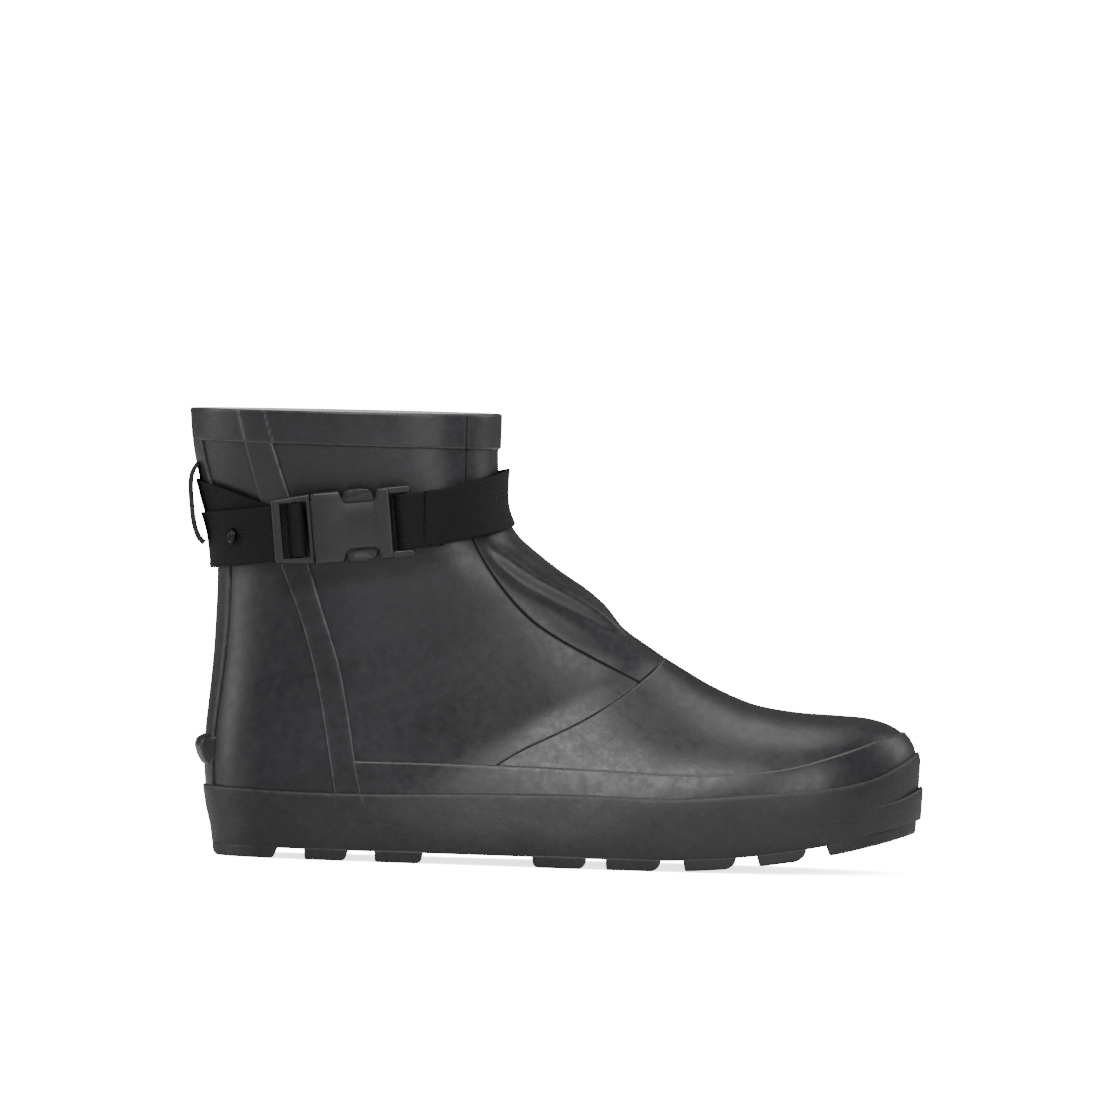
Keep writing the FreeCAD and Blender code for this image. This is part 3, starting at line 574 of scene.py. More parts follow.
def plastic(name, base, roughness):
    """Moulded acetal: even, a little shiny, with fine tool texture."""
    material, tree, shader = new_material(name)
    place = node(tree, "ShaderNodeTexCoord").outputs["Object"]
    broad = noise_at(tree, place, 90, 3, 0.5)
    grainy = noise_at(tree, place, 3200, 2, 0.5)
    tree.links.new(mixed(tree, broad, base, tuple(1.5 * v for v in base)), shader.inputs["Base Color"])
    rough = maths(tree, "ADD", maths(tree, "MULTIPLY", broad, 0.12), roughness)
    tree.links.new(rough, shader.inputs["Roughness"])
    bumped(tree, shader, [(grainy, 0.4, 0.00003), (broad, 0.1, 0.0001)])
    return material


buckle_plastic = plastic("buckle_plastic", (0.0080, 0.0076, 0.0084), 0.36)


def textile(name, base, light, scale, roughness=0.9):
    """Fine knit or felt."""
    material, tree, shader = new_material(name)
    place = node(tree, "ShaderNodeTexCoord").outputs["Object"]
    cells = node(tree, "ShaderNodeTexVoronoi", {"Vector": place, "Scale": scale}).outputs["Distance"]
    fuzz = noise_at(tree, place, scale * 2, 3, 0.6)
    broad = noise_at(tree, place, 40, 4, 0.6)
    knit = maths(tree, "MULTIPLY", cells, 0.7)
    share = maths(tree, "ADD", knit, maths(tree, "MULTIPLY", broad, 0.4), clamp=True)
    tree.links.new(mixed(tree, share, base, light), shader.inputs["Base Color"])
    shader.inputs["Roughness"].default_value = roughness
    shader.inputs["Sheen Weight"].default_value = 0.3
    shader.inputs["Sheen Roughness"].default_value = 0.5
    bumped(tree, shader, [(cells, 0.6, 0.0003), (fuzz, 0.4, 0.0002)])
    return material


lining_textile = textile("lining_textile", (0.30, 0.30, 0.31), (0.52, 0.52, 0.53), 900)
footbed_textile = textile("footbed_textile", (0.16, 0.16, 0.17), (0.28, 0.28, 0.29), 1100)
footbed_foam = textile("footbed_foam", (0.10, 0.10, 0.105), (0.16, 0.16, 0.17), 1500)
board_fibre = textile("board_fibre", (0.35, 0.27, 0.18), (0.48, 0.38, 0.26), 700)
stiff_sheet = textile("stiff_sheet", (0.55, 0.52, 0.45), (0.66, 0.63, 0.56), 500)
filler_foam = textile("filler_foam", (0.09, 0.09, 0.09), (0.14, 0.14, 0.14), 1200)


def metal(name, base, roughness):
    material, tree, shader = new_material(name)
    place = node(tree, "ShaderNodeTexCoord").outputs["Object"]
    broad = noise_at(tree, place, 300, 4, 0.6)
    shader.inputs["Metallic"].default_value = 1.0
    tree.links.new(mixed(tree, broad, base, tuple(0.7 * v for v in base)), shader.inputs["Base Color"])
    rough = maths(tree, "ADD", maths(tree, "MULTIPLY", broad, 0.25), roughness)
    tree.links.new(rough, shader.inputs["Roughness"])
    bumped(tree, shader, [(broad, 0.15, 0.00008)])
    return material


rivet_metal = metal("rivet_metal", (0.030, 0.029, 0.030), 0.22)
shank_steel = metal("shank_steel", (0.5, 0.5, 0.5), 0.3)

# ---------------------------------------------------------------- panels of the main rubber
# Gusset at the front: columns run from one seam, over the shin, to the other.
s, angle = panel_grid(210, 110, lambda s, c: (2 * c - 1) * gusset_angle(np.minimum(s, 12.3)),
                      lambda a: vamp_section(np.abs(a)))
# Painted shade along both of the gusset's seams.
panel("front_gusset_look", s, angle, "front_gusset", fold_lift, sides=(-1, -1), seam=0.8)
# Heel quarter: round the back from one side seam to the other.
s, angle = panel_grid(150, 170, lambda s, c: stay_angle(s) + c * 2 * (math.pi - stay_angle(s)), lower_end)
panel("heel_quarter_look", s, angle, "heel_quarter", ends=(None, None))
for sign, side in ((1, "inner"), (-1, "outer")):
    def quarter_angle(s, c, sign=sign):
        front = gusset_angle(np.minimum(s, 12.3))
        return sign * (front + c * (stay_angle(s) - front))

    def quarter_end(angle):
        return np.minimum(vamp_section(np.abs(angle)), lower_end(angle))
    s, angle = panel_grid(170, 100, quarter_angle, quarter_end)
    # Painted shade along the gusset seam, painted highlight along the vamp seam.
    panel("quarter_" + side + "_look", s, angle, "quarter_" + side, sides=(-1, 0), ends=(None, 0.5), seam=0.7)

# Vamp: from the seam over the instep to the toe.
across = np.linspace(-1, 1, 181)
along = np.concatenate([edge_steps(60, 0.01, 6)[:-6] * 0.8 / 0.99, np.linspace(0.82, 1, 60)])
along = np.unique(np.clip(along, 0, 1))
start = np.full(across.shape, 12.8)
for _ in range(14):
    reach = np.abs(across) * angle_at_level(start, low_level)
    start = 0.4 * start + 0.6 * vamp_section(reach)
s = start[None, :] + (LAST - start)[None, :] * along[:, None]
angle = across[None, :] * angle_at_level(s, low_level)
# Painted highlight along the vamp's top edge at its seam.
panel("vamp_look", s, angle, "vamp", sides=(None, None), ends=(0.6, None))

# ---------------------------------------------------------------- second layer: stays, collar, back stay
def stay_sides(z):
    """x of the back and front edges of the side stays at heights z."""
    back = polyline(STAY_BACK, 900)
    front = polyline(STAY_FRONT, 900)
    return np.interp(-z, -back[:, 1], back[:, 0]), np.interp(-z, -front[:, 1], front[:, 0])


def raised_strip(name, s, angle, near, node_name, tone):
    """A strip laid on the rubber; near is each point's distance from the strip's border."""
    near = np.broadcast_to(near, s.shape)
    d = np.where(near < 1e-6, -0.25, 1.2 * quarter_round(near, 0.9) - 0.02)
    # Painted highlight in a narrow line along the strip's rounded border.
    edge_highlight_and_shade = tone * np.exp(-((near - 0.45) / 0.38) ** 2)
    sheet_piece(name, layer(s, angle, d), layer(s, angle, -0.6), "upper_rubber", node_name, upper_rubber,
                edge_highlight_and_shade)


z = np.linspace(182.0, 26.0, 260)
back_x, front_x = stay_sides(z)
width = (front_x - back_x)[:, None]
c = edge_steps(17, 0.09, 5)[None, :]
x = back_x[:, None] + width * c
s, angle = locate(x, np.broadcast_to(z[:, None], x.shape))
for sign, side in ((-1, "outer"), (1, "inner")):
    raised_strip("side_stay_" + side + "_look", s, sign * angle, np.minimum(c, 1 - c) * width,
                 "side_stay_" + side, 1.0)


def stay_ridge(points):
    """How strongly the side stays show through a band laid over them, 0 to 1, for layer points."""
    back_x, front_x = stay_sides(points[..., 2])
    return smooth((points[..., 0] - back_x + 0.9) / 1.8) * smooth((front_x - points[..., 0] + 0.9) / 1.8)


def stay_border(points):
    """1 on the borders of the side stays under a band."""
    ridge = stay_ridge(points)
    return 4 * ridge * (1 - ridge)


# The gusset's seams show through the collar, so the collar's rings have extra points there.
gusset_turn = float(locate(np.array([66.2]), np.array([190.0]))[1][0])
close_by = np.linspace(-0.03, 0.03, 13)
around = np.unique(np.concatenate([np.linspace(0, 2 * math.pi, 420, endpoint=False), gusset_turn + close_by,
                                   2 * math.pi - gusset_turn + close_by]))


def collar_groove(points):
    """1 along the gusset's seams, 0 away from them."""
    return np.exp(-((points[..., 0] - 66.2) / 0.6) ** 2)


def collar_ring(share, distance):
    def level(x):
        return COLLAR_BOTTOM + share * (top_level(x) - COLLAR_BOTTOM)
    folded = np.arccos(np.cos(around))
    s = section_at_level(folded, level, distance, high=6.0)
    points = layer(s, around, distance)
    if distance > 0.4:
        raise_by = 0.35 * stay_ridge(points) - 0.6 * collar_groove(points)
        points = layer(s, around, distance + raise_by)
    return points


def corner_profile(outer, inner, share_r, depth_r, rows=14, steps=6):
    """(share, distance) rows of a band with both outer corners rounded."""
    low = [(share_r * (1 - math.cos(math.pi / 2 - t)), outer - depth_r * (1 - math.sin(math.pi / 2 - t)))
           for t in np.linspace(math.pi / 2, 0, steps)]
    high = [(1 - share, distance) for share, distance in reversed(low)]
    middle = [(share_r + (1 - 2 * share_r) * k / rows, outer) for k in range(1, rows)]
    return low + middle + high + [(1.0, inner), (0.5, inner), (0.0, inner)]


def band_piece(name, profile, ring_of, node_name, slot_name, material, edge_highlight, low_highlight_share, border_highlight,
               dark=lambda ring: 0.0):
    """A band all round the boot from (level share, distance) rows, with painted highlight on its edges and on
    the borders of the stays under it, and painted shade where dark(ring) is given.
    """
    rings = np.array([ring_of(share, distance) for share, distance in profile])
    vertices, faces = tube_solid(rings)
    edge_highlight_and_shade = []
    for (share, distance), ring in zip(profile, rings):
        value = np.zeros(len(ring))
        if distance > 0.2:
            # Painted highlight on the band's rounded edges and over the stays' borders; dark(ring) paints
            # shade into grooves.
            value += edge_highlight * (1 if share > 0.95 or share < low_highlight_share else 0)
            value = np.maximum(value, border_highlight(share) * stay_border(ring) ** 2) - dark(ring)
        edge_highlight_and_shade.append(value)
    mesh_piece(name, vertices, faces, "boot", slot_name, [node_name], material,
               {"edge_highlight_and_shade": np.concatenate(edge_highlight_and_shade)})


# Painted highlight on the collar's edges and the stays' borders; painted shade in the grooves over the
# gusset's seams.
band_piece("collar_band_look", corner_profile(1.25, -0.4, 0.07, 0.8), collar_ring, "collar_band",
           "band_rubber", band_rubber, 0.35, 0.05, lambda share: 0.8, collar_groove)

# Back stay: a strip over the back seam.
BACK_STAY_HALF = 15.0
rows = np.linspace(182.0, 26.0, 160)
span = edge_steps(41, 0.03, 6) * 2 - 1
c = sections(section_at_level(np.full(len(rows), math.pi), lambda x: rows, high=12.5))
reach = BACK_STAY_HALF / (c[:, 4] * (1 - c[:, 9] * c[:, 6]))
turn = np.arcsin(np.abs(span[None, :] * reach[:, None]) ** (c[:, 8] / 2)[:, None]) * np.sign(span)[None, :]
angle = math.pi + turn
levels = np.broadcast_to(rows[:, None], angle.shape)
s = section_at_level(angle, lambda x: levels, high=12.9)
raised_strip("back_stay_look", s, angle, (1 - np.abs(span))[None, :] * BACK_STAY_HALF, "back_stay", 0.6)


# ---------------------------------------------------------------- bands round the sole
def girdle(level, distance, count=900, extra=0.0):
    """A closed loop round the lower boot where the layer at a distance meets a level(x), from the heel's
    middle along the outer side to the toe and back along the inner side. Extra thickens the toe."""
    def offset(s):
        return distance + extra * smooth((s - 18.2) / 2.6)

    def gap(s, angle):
        return height_above(s, angle, offset(s), level)
    first = solve(np.array([7.0]), np.array([12.9]), lambda s: gap(s, np.array([math.pi])))[0]
    ends_inside = gap(np.array([LAST - 1e-3]), np.array([1e-4]))[0] < 0
    last = solve(np.array([15.0]), np.array([float(LAST)]), lambda s: gap(s, np.array([1e-4])))[0] \
        if ends_inside else float(LAST)
    u = np.linspace(0, 1, 500)
    share = np.where(u < 0.5, 2 * u * u, 1 - 2 * (1 - u) ** 2) if ends_inside else u**1.8
    s = first + 1e-3 + (last - first - 2e-3) * share
    angle = solve(np.full_like(s, 1e-4), np.full_like(s, math.pi), lambda angle: gap(s, angle))
    inner = layer(s, angle, offset(s))
    outer = layer(s, -angle, offset(s))
    inner[:, 2] = level(inner[:, 0])
    outer[:, 2] = level(outer[:, 0])
    heel = layer(np.array([first]), np.array([math.pi]), offset(np.array([first])))
    loop = np.concatenate([heel, outer, inner[::-1]])
    loop = np.concatenate([loop, loop[:1]])
    return even(loop, count)


def even(loop, count):
    """Resample a closed loop evenly by length and soften its corners."""
    run = run_along(loop)
    at = np.linspace(0, run[-1], count, endpoint=False)
    points = np.stack([np.interp(at, run, loop[:, k]) for k in range(3)], -1)
    step = run[-1] / count
    for _ in range(int(round((3.2 / step) ** 2))):
        points = (np.roll(points, 1, axis=0) + 2 * points + np.roll(points, -1, axis=0)) / 4
    return points


def leveled(level, distance, extra=0.0):
    """A softened girdle put back on its level."""
    points = girdle(level, distance, extra=extra)
    points[:, 2] = level(points[:, 0])
    return points


def between_levels(low, high):
    return lambda share: (lambda x: low(x) + share * (high(x) - low(x)))


foxing_level = between_levels(sole_level, foxing_top)


def foxing_ring(share, distance):
    points = leveled(foxing_level(share), distance)
    if distance > 1.0:
        ridge = stay_ridge(np.concatenate([points[:, :2], np.full((len(points), 1), 29.0)], 1))
        points[:, 1] += 0.4 * ridge * smooth((share - 0.62) / 0.3) * np.sign(points[:, 1])
    return points


# Painted highlight along the foxing's top edge and over the stays' borders near it.
band_piece("foxing_look", corner_profile(2.4, -0.6, 0.035, 1.0, rows=24), foxing_ring, "foxing",
           "sole_rubber", sole_rubber, 0.45, -1, lambda share: 0.5 * float(smooth((share - 0.6) / 0.3)))


def open_band(name, profile, ring_of, start_x, node_name, slot_name, material):
    """A band that runs from one side round the toe to the other side, closed at both ends."""
    count = 700
    cut = []
    for share, distance in profile:
        ring = ring_of(share, distance)
        keep = ring[ring[:, 0] >= start_x - 0.5]
        run = run_along(keep)
        at = np.linspace(0, run[-1], count)
        cut.append(np.stack([np.interp(at, run, keep[:, k]) for k in range(3)], -1))
    cut = np.array(cut)
    rows = len(cut)
    vertices = cut.reshape(-1, 3)
    faces = []
    for i in range(rows):
        k = (i + 1) % rows
        for j in range(count - 1):
            faces.append([i * count + j, i * count + j + 1, k * count + j + 1, k * count + j])
    faces.append([i * count for i in range(rows)])
    faces.append([i * count + count - 1 for i in reversed(range(rows))])
    edge_highlight_and_shade = []
    # Painted highlight along the band's top edge.
    for share, distance in profile:
        edge_highlight_and_shade.append(np.full(count, 0.5 if distance > 0.2 and share > 0.95 else 0.0))
    mesh_piece(name, vertices, faces, "boot", slot_name, [node_name], material,
               {"edge_highlight_and_shade": np.concatenate(edge_highlight_and_shade)})


rand_level = between_levels(lambda x: foxing_top(x) - 3.0, rand_top)
open_band("rand_look", corner_profile(1.1, -0.5, 0.06, 0.8, rows=12), lambda share, distance: leveled(
    rand_level(share), distance), 21.0, "rand", "upper_rubber", band_rubber)

lip_level = between_levels(lambda x: sole_level(x, 0.3), lip_top)
open_band("toe_lip_look", [(0.02, 2.2), (0.05, 2.35), (0.3, 2.42), (0.75, 2.42), (0.9, 2.35), (0.97, 2.2),
                           (1.0, 1.7), (1.0, 0.8), (0.0, 0.8)],
          lambda share, distance: leveled(lip_level(share), distance, 1.85 if distance > 1 else 0.0), 222.0,
          "toe_lip", "sole_rubber", sole_rubber)


# ---------------------------------------------------------------- outsole
def outline_spans(distance, level=sole_level):
    """A function that gives the outer and inner side's y at x, for the loop at a distance."""
    loop = leveled(level, distance)
    loop = np.roll(loop, -int(np.argmin(loop[:, 0])), axis=0)
    turn = int(np.argmax(loop[:, 0]))
    outer = loop[:turn + 1]
    inner = np.concatenate([loop[turn:], loop[:1]])[::-1]
    low = loop[0, 0]
    high = loop[turn, 0]

    def spans(x):
        x = np.clip(x, low + 0.02, high - 0.02)
        return (np.interp(x, outer[:, 0], outer[:, 1]), np.interp(x, inner[:, 0], inner[:, 1]))
    return spans, low, high


plate_spans, plate_low, plate_high = outline_spans(2.2)
u = np.linspace(0, 1, 240)
stations = plate_low + (plate_high - plate_low) * (1 - np.cos(math.pi * u)) / 2
side_a, side_b = plate_spans(stations)
v = np.linspace(0, 1, 31)
plate_x = np.broadcast_to(stations[:, None], (240, 31))
plate_y = side_a[:, None] + (side_b - side_a)[:, None] * v[None, :]
low_face = np.stack([plate_x, plate_y, sole_level(plate_x, 0.05)], -1)
high_face = np.stack([plate_x, plate_y, sole_level(plate_x, 4.0)], -1)
plate_vertices, plate_faces = sheet_solid(low_face, high_face)

# Tread blocks: start and end along the sole, rounding of the heel-side and toe-side lower corners.
LUGS = [(-60, -10, 3.0, 2.6), (2.1, 20.6, 1.0, 2.6), (32.2, 52.9, 1.0, 2.6), (99.8, 123, 2.6, 3.6),
        (131.2, 154.8, 1.0, 4.2), (164.7, 187, 1.0, 4.6), (196.5, 217, 1.0, 4.6), (226.4, 300, 1.0, 1.0)]
lug_spans, lug_low, lug_high = outline_spans(2.38)


def lug_mesh(low, high, heel_round, toe_round):
    """One tread block across the sole, its lower corners rounded by the given lengths."""
    layers = []
    heights = [-0.25, 0.05, 0.2, 0.4, 0.55, 0.68, 0.79, 0.87, 0.93, 0.97, 0.992, 1.0]
    for height in heights:
        below = LUG_HEIGHT * (1 - height)

        def inset(length):
            return length * (1 - quarter_round(below, min(length, 4.2)))
        draft = 0.45 * max(height, 0)
        a = max(low, lug_low + 0.05) + inset(heel_round) + draft
        b = min(high, lug_high - 0.05) - inset(toe_round) - draft
        side = inset(0.9)
        u = np.linspace(0, 1, 41)
        at = a + (b - a) * (1 - np.cos(math.pi * u)) / 2
        y_a, y_b = lug_spans(at)
        y_a = y_a + side
        y_b = y_b - side
        wide = y_b > y_a + 0.02
        y_a = np.where(wide, y_a, (y_a + y_b) / 2 - 0.01)
        y_b = np.where(wide, y_b, y_a + 0.02)
        u = np.linspace(0, 1, 25)
        across = y_a[:, None] + (y_b - y_a)[:, None] * u[None, :]
        x = np.broadcast_to(at[:, None], across.shape)
        layers.append(np.stack([x, across, sole_level(x, -LUG_HEIGHT * height)], -1))
    rows, columns = layers[0].shape[:2]
    vertices = np.concatenate([g.reshape(-1, 3) for g in layers])
    size = rows * columns
    faces = grid_faces(rows, columns) + grid_faces(rows, columns, size * (len(layers) - 1), flip=True)
    for low in range(0, size * (len(layers) - 1), size):
        faces += [[b + low, a + low, a + low + size, b + low + size] for a, b in rim_pairs(rows, columns)]
    return vertices, faces


all_vertices = [plate_vertices]
all_faces = list(plate_faces)
count = len(plate_vertices)
for lug in LUGS:
    vertices, faces = lug_mesh(*lug)
    all_vertices.append(vertices)
    all_faces += [[i + count for i in face] for face in faces]
    count += len(vertices)
mesh_piece("outsole_look", np.concatenate(all_vertices), all_faces, "boot", "sole_rubber", ["outsole"],
           sole_rubber, {"edge_highlight_and_shade": np.zeros(count)})


# ---------------------------------------------------------------- heel spur and pull loop
def swept(count, section_at):
    """Closed mesh of a section swept along stations, with flat ends."""
    rings = np.array([section_at(k) for k in range(count)])
    return rings.reshape(-1, 3), capped_faces(*rings.shape[:2])


def soft_corners(points, radius, steps=4):
    """Round the corners of a closed flat outline."""
    points = [np.array(p, float) for p in points]
    out = []
    count = len(points)
    for k in range(count):
        before = points[k - 1] - points[k]
        after = points[(k + 1) % count] - points[k]
        reach = min(radius, 0.45 * np.linalg.norm(before), 0.45 * np.linalg.norm(after))
        a = points[k] + before / np.linalg.norm(before) * reach
        b = points[k] + after / np.linalg.norm(after) * reach
        for t in np.linspace(0, 1, steps + 1):
            out.append((1 - t) ** 2 * a + 2 * t * (1 - t) * points[k] + t * t * b)
    return np.array(out)


spur_outline = soft_corners([(-37.5, 51.6), (-42.9, 51.6), (-46.3, 49.7), (-47.1, 46.7), (-45.6, 42.0),
                             (-43.2, 38.2), (-37.5, 38.2)], 1.6)
spur_y = np.concatenate([[-17, -16.8, -16.3, -15.5], np.linspace(-14.5, 14.5, 31), [15.5, 16.3, 16.8, 17]])


def spur_section(k):
    y = spur_y[k]
    shrink = math.sqrt(max(1 - ((abs(y) - 15.0) / 2.2) ** 2, 0.05)) if abs(y) > 15 else 1.0
    curve = 0.5 * y * y / 41.0
    x = -41.2 + curve + (spur_outline[:, 0] + 41.2) * np.where(spur_outline[:, 0] < -41.2, shrink, 1)
    z = 45.0 + (spur_outline[:, 1] - 45.0) * (0.55 + 0.45 * shrink)
    return np.stack([x, np.full_like(x, y), z], -1)


vertices, faces = swept(len(spur_y), spur_section)
mesh_piece("kick_off_spur_look", vertices, faces, "boot", "sole_rubber", ["kick_off_spur"], band_rubber,
           {"edge_highlight_and_shade": np.zeros(len(vertices))})

LOOP_FACE = [(-48.4, 167.0), (-49.8, 164.9), (-50.8, 162.2), (-51.1, 158.5), (-50.5, 151.0), (-49.4, 143.0),
             (-47.9, 137.9), (-46.6, 135.6), (-44.7, 134.0)]
line = polyline(LOOP_FACE, 120)
line_run = run_along(line)
direction = unit(np.gradient(line, axis=0))
inward = np.stack([direction[:, 1], -direction[:, 0]], -1)
loop_ring = soft_corners([(-10, 0), (10, 0), (10, 1.8), (-10, 1.8)], 0.4)


def loop_section(k):
    place = line[k][None, :] + inward[k][None, :] * loop_ring[:, 1:2]
    return np.stack([place[:, 0], loop_ring[:, 0], place[:, 1]], -1)


vertices, faces = swept(120, loop_section)
mesh_piece("pull_loop_look", vertices, faces, "boot", "webbing", ["pull_loop"], loop_webbing,
           {"run": np.repeat(line_run, len(loop_ring)), "cross": np.tile(loop_ring[:, 0], 120)})

# ---------------------------------------------------------------- straps
WEB_WIDTH = 23.6
WEB_THICK = 1.3
FRONT_STRAP = [(-60, 159.4, 8.2), (-54, 160.4, 8.0), (-45, 162.2, 5.6), (-35, 164.4, 3.3), (-25, 166.2, 1.9),
               (-12, 168.2, 1.5), (0, 169.2, 1.5), (20, 168.0, 1.5), (45, 164.0, 1.5), (75, 160.5, 1.5),
               (105, 158.8, 1.5), (135, 159.5, 1.5), (160, 160.6, 1.5), (180, 160.6, 1.5), (200, 158.2, 1.5),
               (215, 154.0, 1.5), (228, 149.8, 1.5)]
BACK_STRAP = [(128, 146.6, 3.1), (142, 146.4, 3.1), (160, 146.2, 3.1), (180, 146.4, 3.1), (200, 147.6, 3.1),
              (214, 149.0, 3.15), (224, 150.2, 3.5), (232, 151.0, 4.3), (240, 151.9, 5.4)]
STRAP_CENTRE_X = 18.0


def skin_at(angle, z, distance):
    """Layer points at heights and at angles in degrees round the ankle's upright axis."""
    angle, z, distance = np.broadcast_arrays(np.asarray(angle, float), np.asarray(z, float),
                                             np.asarray(distance, float))
    s = np.full(angle.shape, 3.0)
    turn = np.radians(angle)
    for _ in range(14):
        point = layer(s, turn, distance)
        azimuth = np.arctan2(point[..., 1], point[..., 0] - STRAP_CENTRE_X)
        wrong = (np.radians(angle) - azimuth + math.pi) % (2 * math.pi) - math.pi
        rise = layer(s + 0.05, turn, distance)[..., 2] - layer(s - 0.05, turn, distance)[..., 2]
        turn = turn + 0.9 * wrong
        s = np.clip(s + 0.9 * (z - point[..., 2]) / (rise / 0.1), 0.2, 9.0)
    return layer(s, turn, distance)


cross_ring = np.concatenate([
    np.stack([np.zeros(3), [0.15, 0.5, 0.85]], -1),
    np.stack([np.linspace(0.012, 0.988, 31), np.ones(31)], -1),
    np.stack([np.ones(3), [0.85, 0.5, 0.15]], -1),
    np.stack([np.linspace(0.988, 0.012, 31), np.zeros(31)], -1)])


def strap_piece(name, table, node_name):
    """A webbing strap: cross_ring gives (share of the width from the top edge, share of the thickness)."""
    table = np.array(table)
    rows = 220
    angle = np.linspace(table[0, 0], table[-1, 0], rows)
    upper = spline(table[:, 0], table[:, 1], angle)
    distance = spline(table[:, 0], table[:, 2], angle)
    z = upper[:, None] - WEB_WIDTH * cross_ring[None, :, 0]
    near = np.minimum(cross_ring[:, 0], 1 - cross_ring[:, 0]) * WEB_WIDTH
    hem = 0.12 * np.exp(-((near - 1.2) / 0.7) ** 2)
    raised = WEB_THICK * cross_ring[:, 1] + hem * (cross_ring[:, 1] > 0.5)
    offset = distance[:, None] + raised[None, :]
    # Over the shin the webbing stands straighter than the rubber under it.
    shin = np.exp(-(angle / 38) ** 2)[:, None]
    offset = offset + shin * (0.6 + 1.6 * (1 - 2 * cross_ring[None, :, 0]))
    points = skin_at(np.broadcast_to(angle[:, None], z.shape), z, offset)
    vertices, faces = swept(rows, lambda k: points[k])
    run = run_along(points[:, 18])
    mesh_piece(name, vertices, faces, "boot", "webbing", [node_name], webbing,
               {"run": np.repeat(run, len(cross_ring)), "cross": np.tile(cross_ring[:, 0] * WEB_WIDTH, rows)})


strap_piece("front_strap_look", FRONT_STRAP, "front_strap")
strap_piece("back_strap_look", BACK_STRAP, "back_strap")

# ---------------------------------------------------------------- buckle
BUCKLE_AT = np.array([13.2, -51.4, 143.1])
TILT = math.radians(6.5)
YAW = math.radians(4.5)
ALONG = np.array([math.cos(TILT) * math.cos(YAW), -math.sin(YAW), math.sin(TILT) * math.cos(YAW)])
ACROSS = np.array([-math.sin(TILT), 0, math.cos(TILT)])
OUTWARD = np.cross(ALONG, ACROSS)
MOUTH_U = -11.2


def at_buckle(points):
    """Move (u, v, w) points of the buckle's own frame to the ankle."""
    points = np.asarray(points, float)
    return BUCKLE_AT + points[:, :1] * ALONG + points[:, 1:2] * ACROSS + points[:, 2:3] * OUTWARD


def block(outline, low, high, radius=0.6, steps=4):
    """Vertices and faces of a plate from a (u, v) outline, its rims rounded over."""
    outline = np.asarray(outline, float)
    following = np.roll(outline, -1, axis=0) - outline
    before = outline - np.roll(outline, 1, axis=0)
    tangent = unit(unit(following) + unit(before))
    normal = np.stack([tangent[:, 1], -tangent[:, 0]], -1)
    next_point = np.roll(outline, -1, axis=0)
    area = 0.5 * np.sum(outline[:, 0] * next_point[:, 1] - next_point[:, 0] * outline[:, 1])
    if area < 0:
        normal = -normal
    rows = []
    for t in np.linspace(0, math.pi / 2, steps + 1):
        rows.append((radius * (1 - math.sin(t)), low + radius * (1 - math.cos(t))))
    for t in np.linspace(math.pi / 2, 0, steps + 1):
        rows.append((radius * (1 - math.sin(t)), high - radius * (1 - math.cos(t))))
    vertices = []
    for inset, w in rows:
        flat = outline - normal * inset
        vertices.append(np.concatenate([flat, np.full((len(flat), 1), w)], 1))
    return np.concatenate(vertices), capped_faces(len(rows), len(outline))


def buckle_solid(name, add, cut=()):
    """Union blocks given in the buckle's frame and cut others away; returns a mesh object at the origin."""
    def made(part):
        mesh = bpy.data.meshes.new(name + "_part")
        mesh.from_pydata((np.asarray(part[0]) * MM).tolist(), [], [list(f) for f in part[1]])
        mesh.validate()
        work = bmesh.new()
        work.from_mesh(mesh)
        bmesh.ops.recalc_face_normals(work, faces=work.faces)
        work.to_mesh(mesh)
        work.free()
        obj = bpy.data.objects.new(name + "_part", mesh)
        bpy.context.scene.collection.objects.link(obj)
        return obj
    base = made(add[0])
    tools = []
    for part, operation in [(p, "UNION") for p in add[1:]] + [(p, "DIFFERENCE") for p in cut]:
        tool = made(part)
        tools.append(tool)
        modifier = base.modifiers.new("join", "BOOLEAN")
        modifier.operation = operation
        modifier.object = tool
        modifier.solver = "EXACT"
    depsgraph = bpy.context.evaluated_depsgraph_get()
    mesh = bpy.data.meshes.new_from_object(base.evaluated_get(depsgraph))
    for obj in [base] + tools:
        bpy.data.objects.remove(obj)
    return mesh


def place_buckle(name, mesh, body, node_name, material, bevel=0.25):
    work = bmesh.new()
    work.from_mesh(mesh)
    bmesh.ops.remove_doubles(work, verts=work.verts, dist=2e-6)
    bmesh.ops.dissolve_limit(work, angle_limit=math.radians(1), verts=work.verts, edges=work.edges)
    sharp = [e for e in work.edges if len(e.link_faces) == 2 and e.calc_face_angle() > math.radians(50)]
    bmesh.ops.bevel(work, geom=sharp, offset=bevel * MM, segments=2, profile=0.5, affect="EDGES",
                    clamp_overlap=True)
    bmesh.ops.triangulate(work, faces=work.faces)
    for vertex in work.verts:
        u, v, w = vertex.co / MM
        vertex.co = Vector((BUCKLE_AT + u * ALONG + v * ACROSS + w * OUTWARD + ORIGIN) * MM)
    bmesh.ops.recalc_face_normals(work, faces=work.faces)
    for edge in work.edges:
        edge.smooth = not (len(edge.link_faces) == 2 and edge.calc_face_angle() > math.radians(34))
    for face in work.faces:
        face.smooth = True
    work.to_mesh(mesh)
    work.free()
    mesh.name = name
    obj = bpy.data.objects.new(name, mesh)
    bpy.context.scene.collection.objects.link(obj)
    mesh.materials.clear()
    mesh.materials.append(material)
    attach(obj, body)
    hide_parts(node_name)


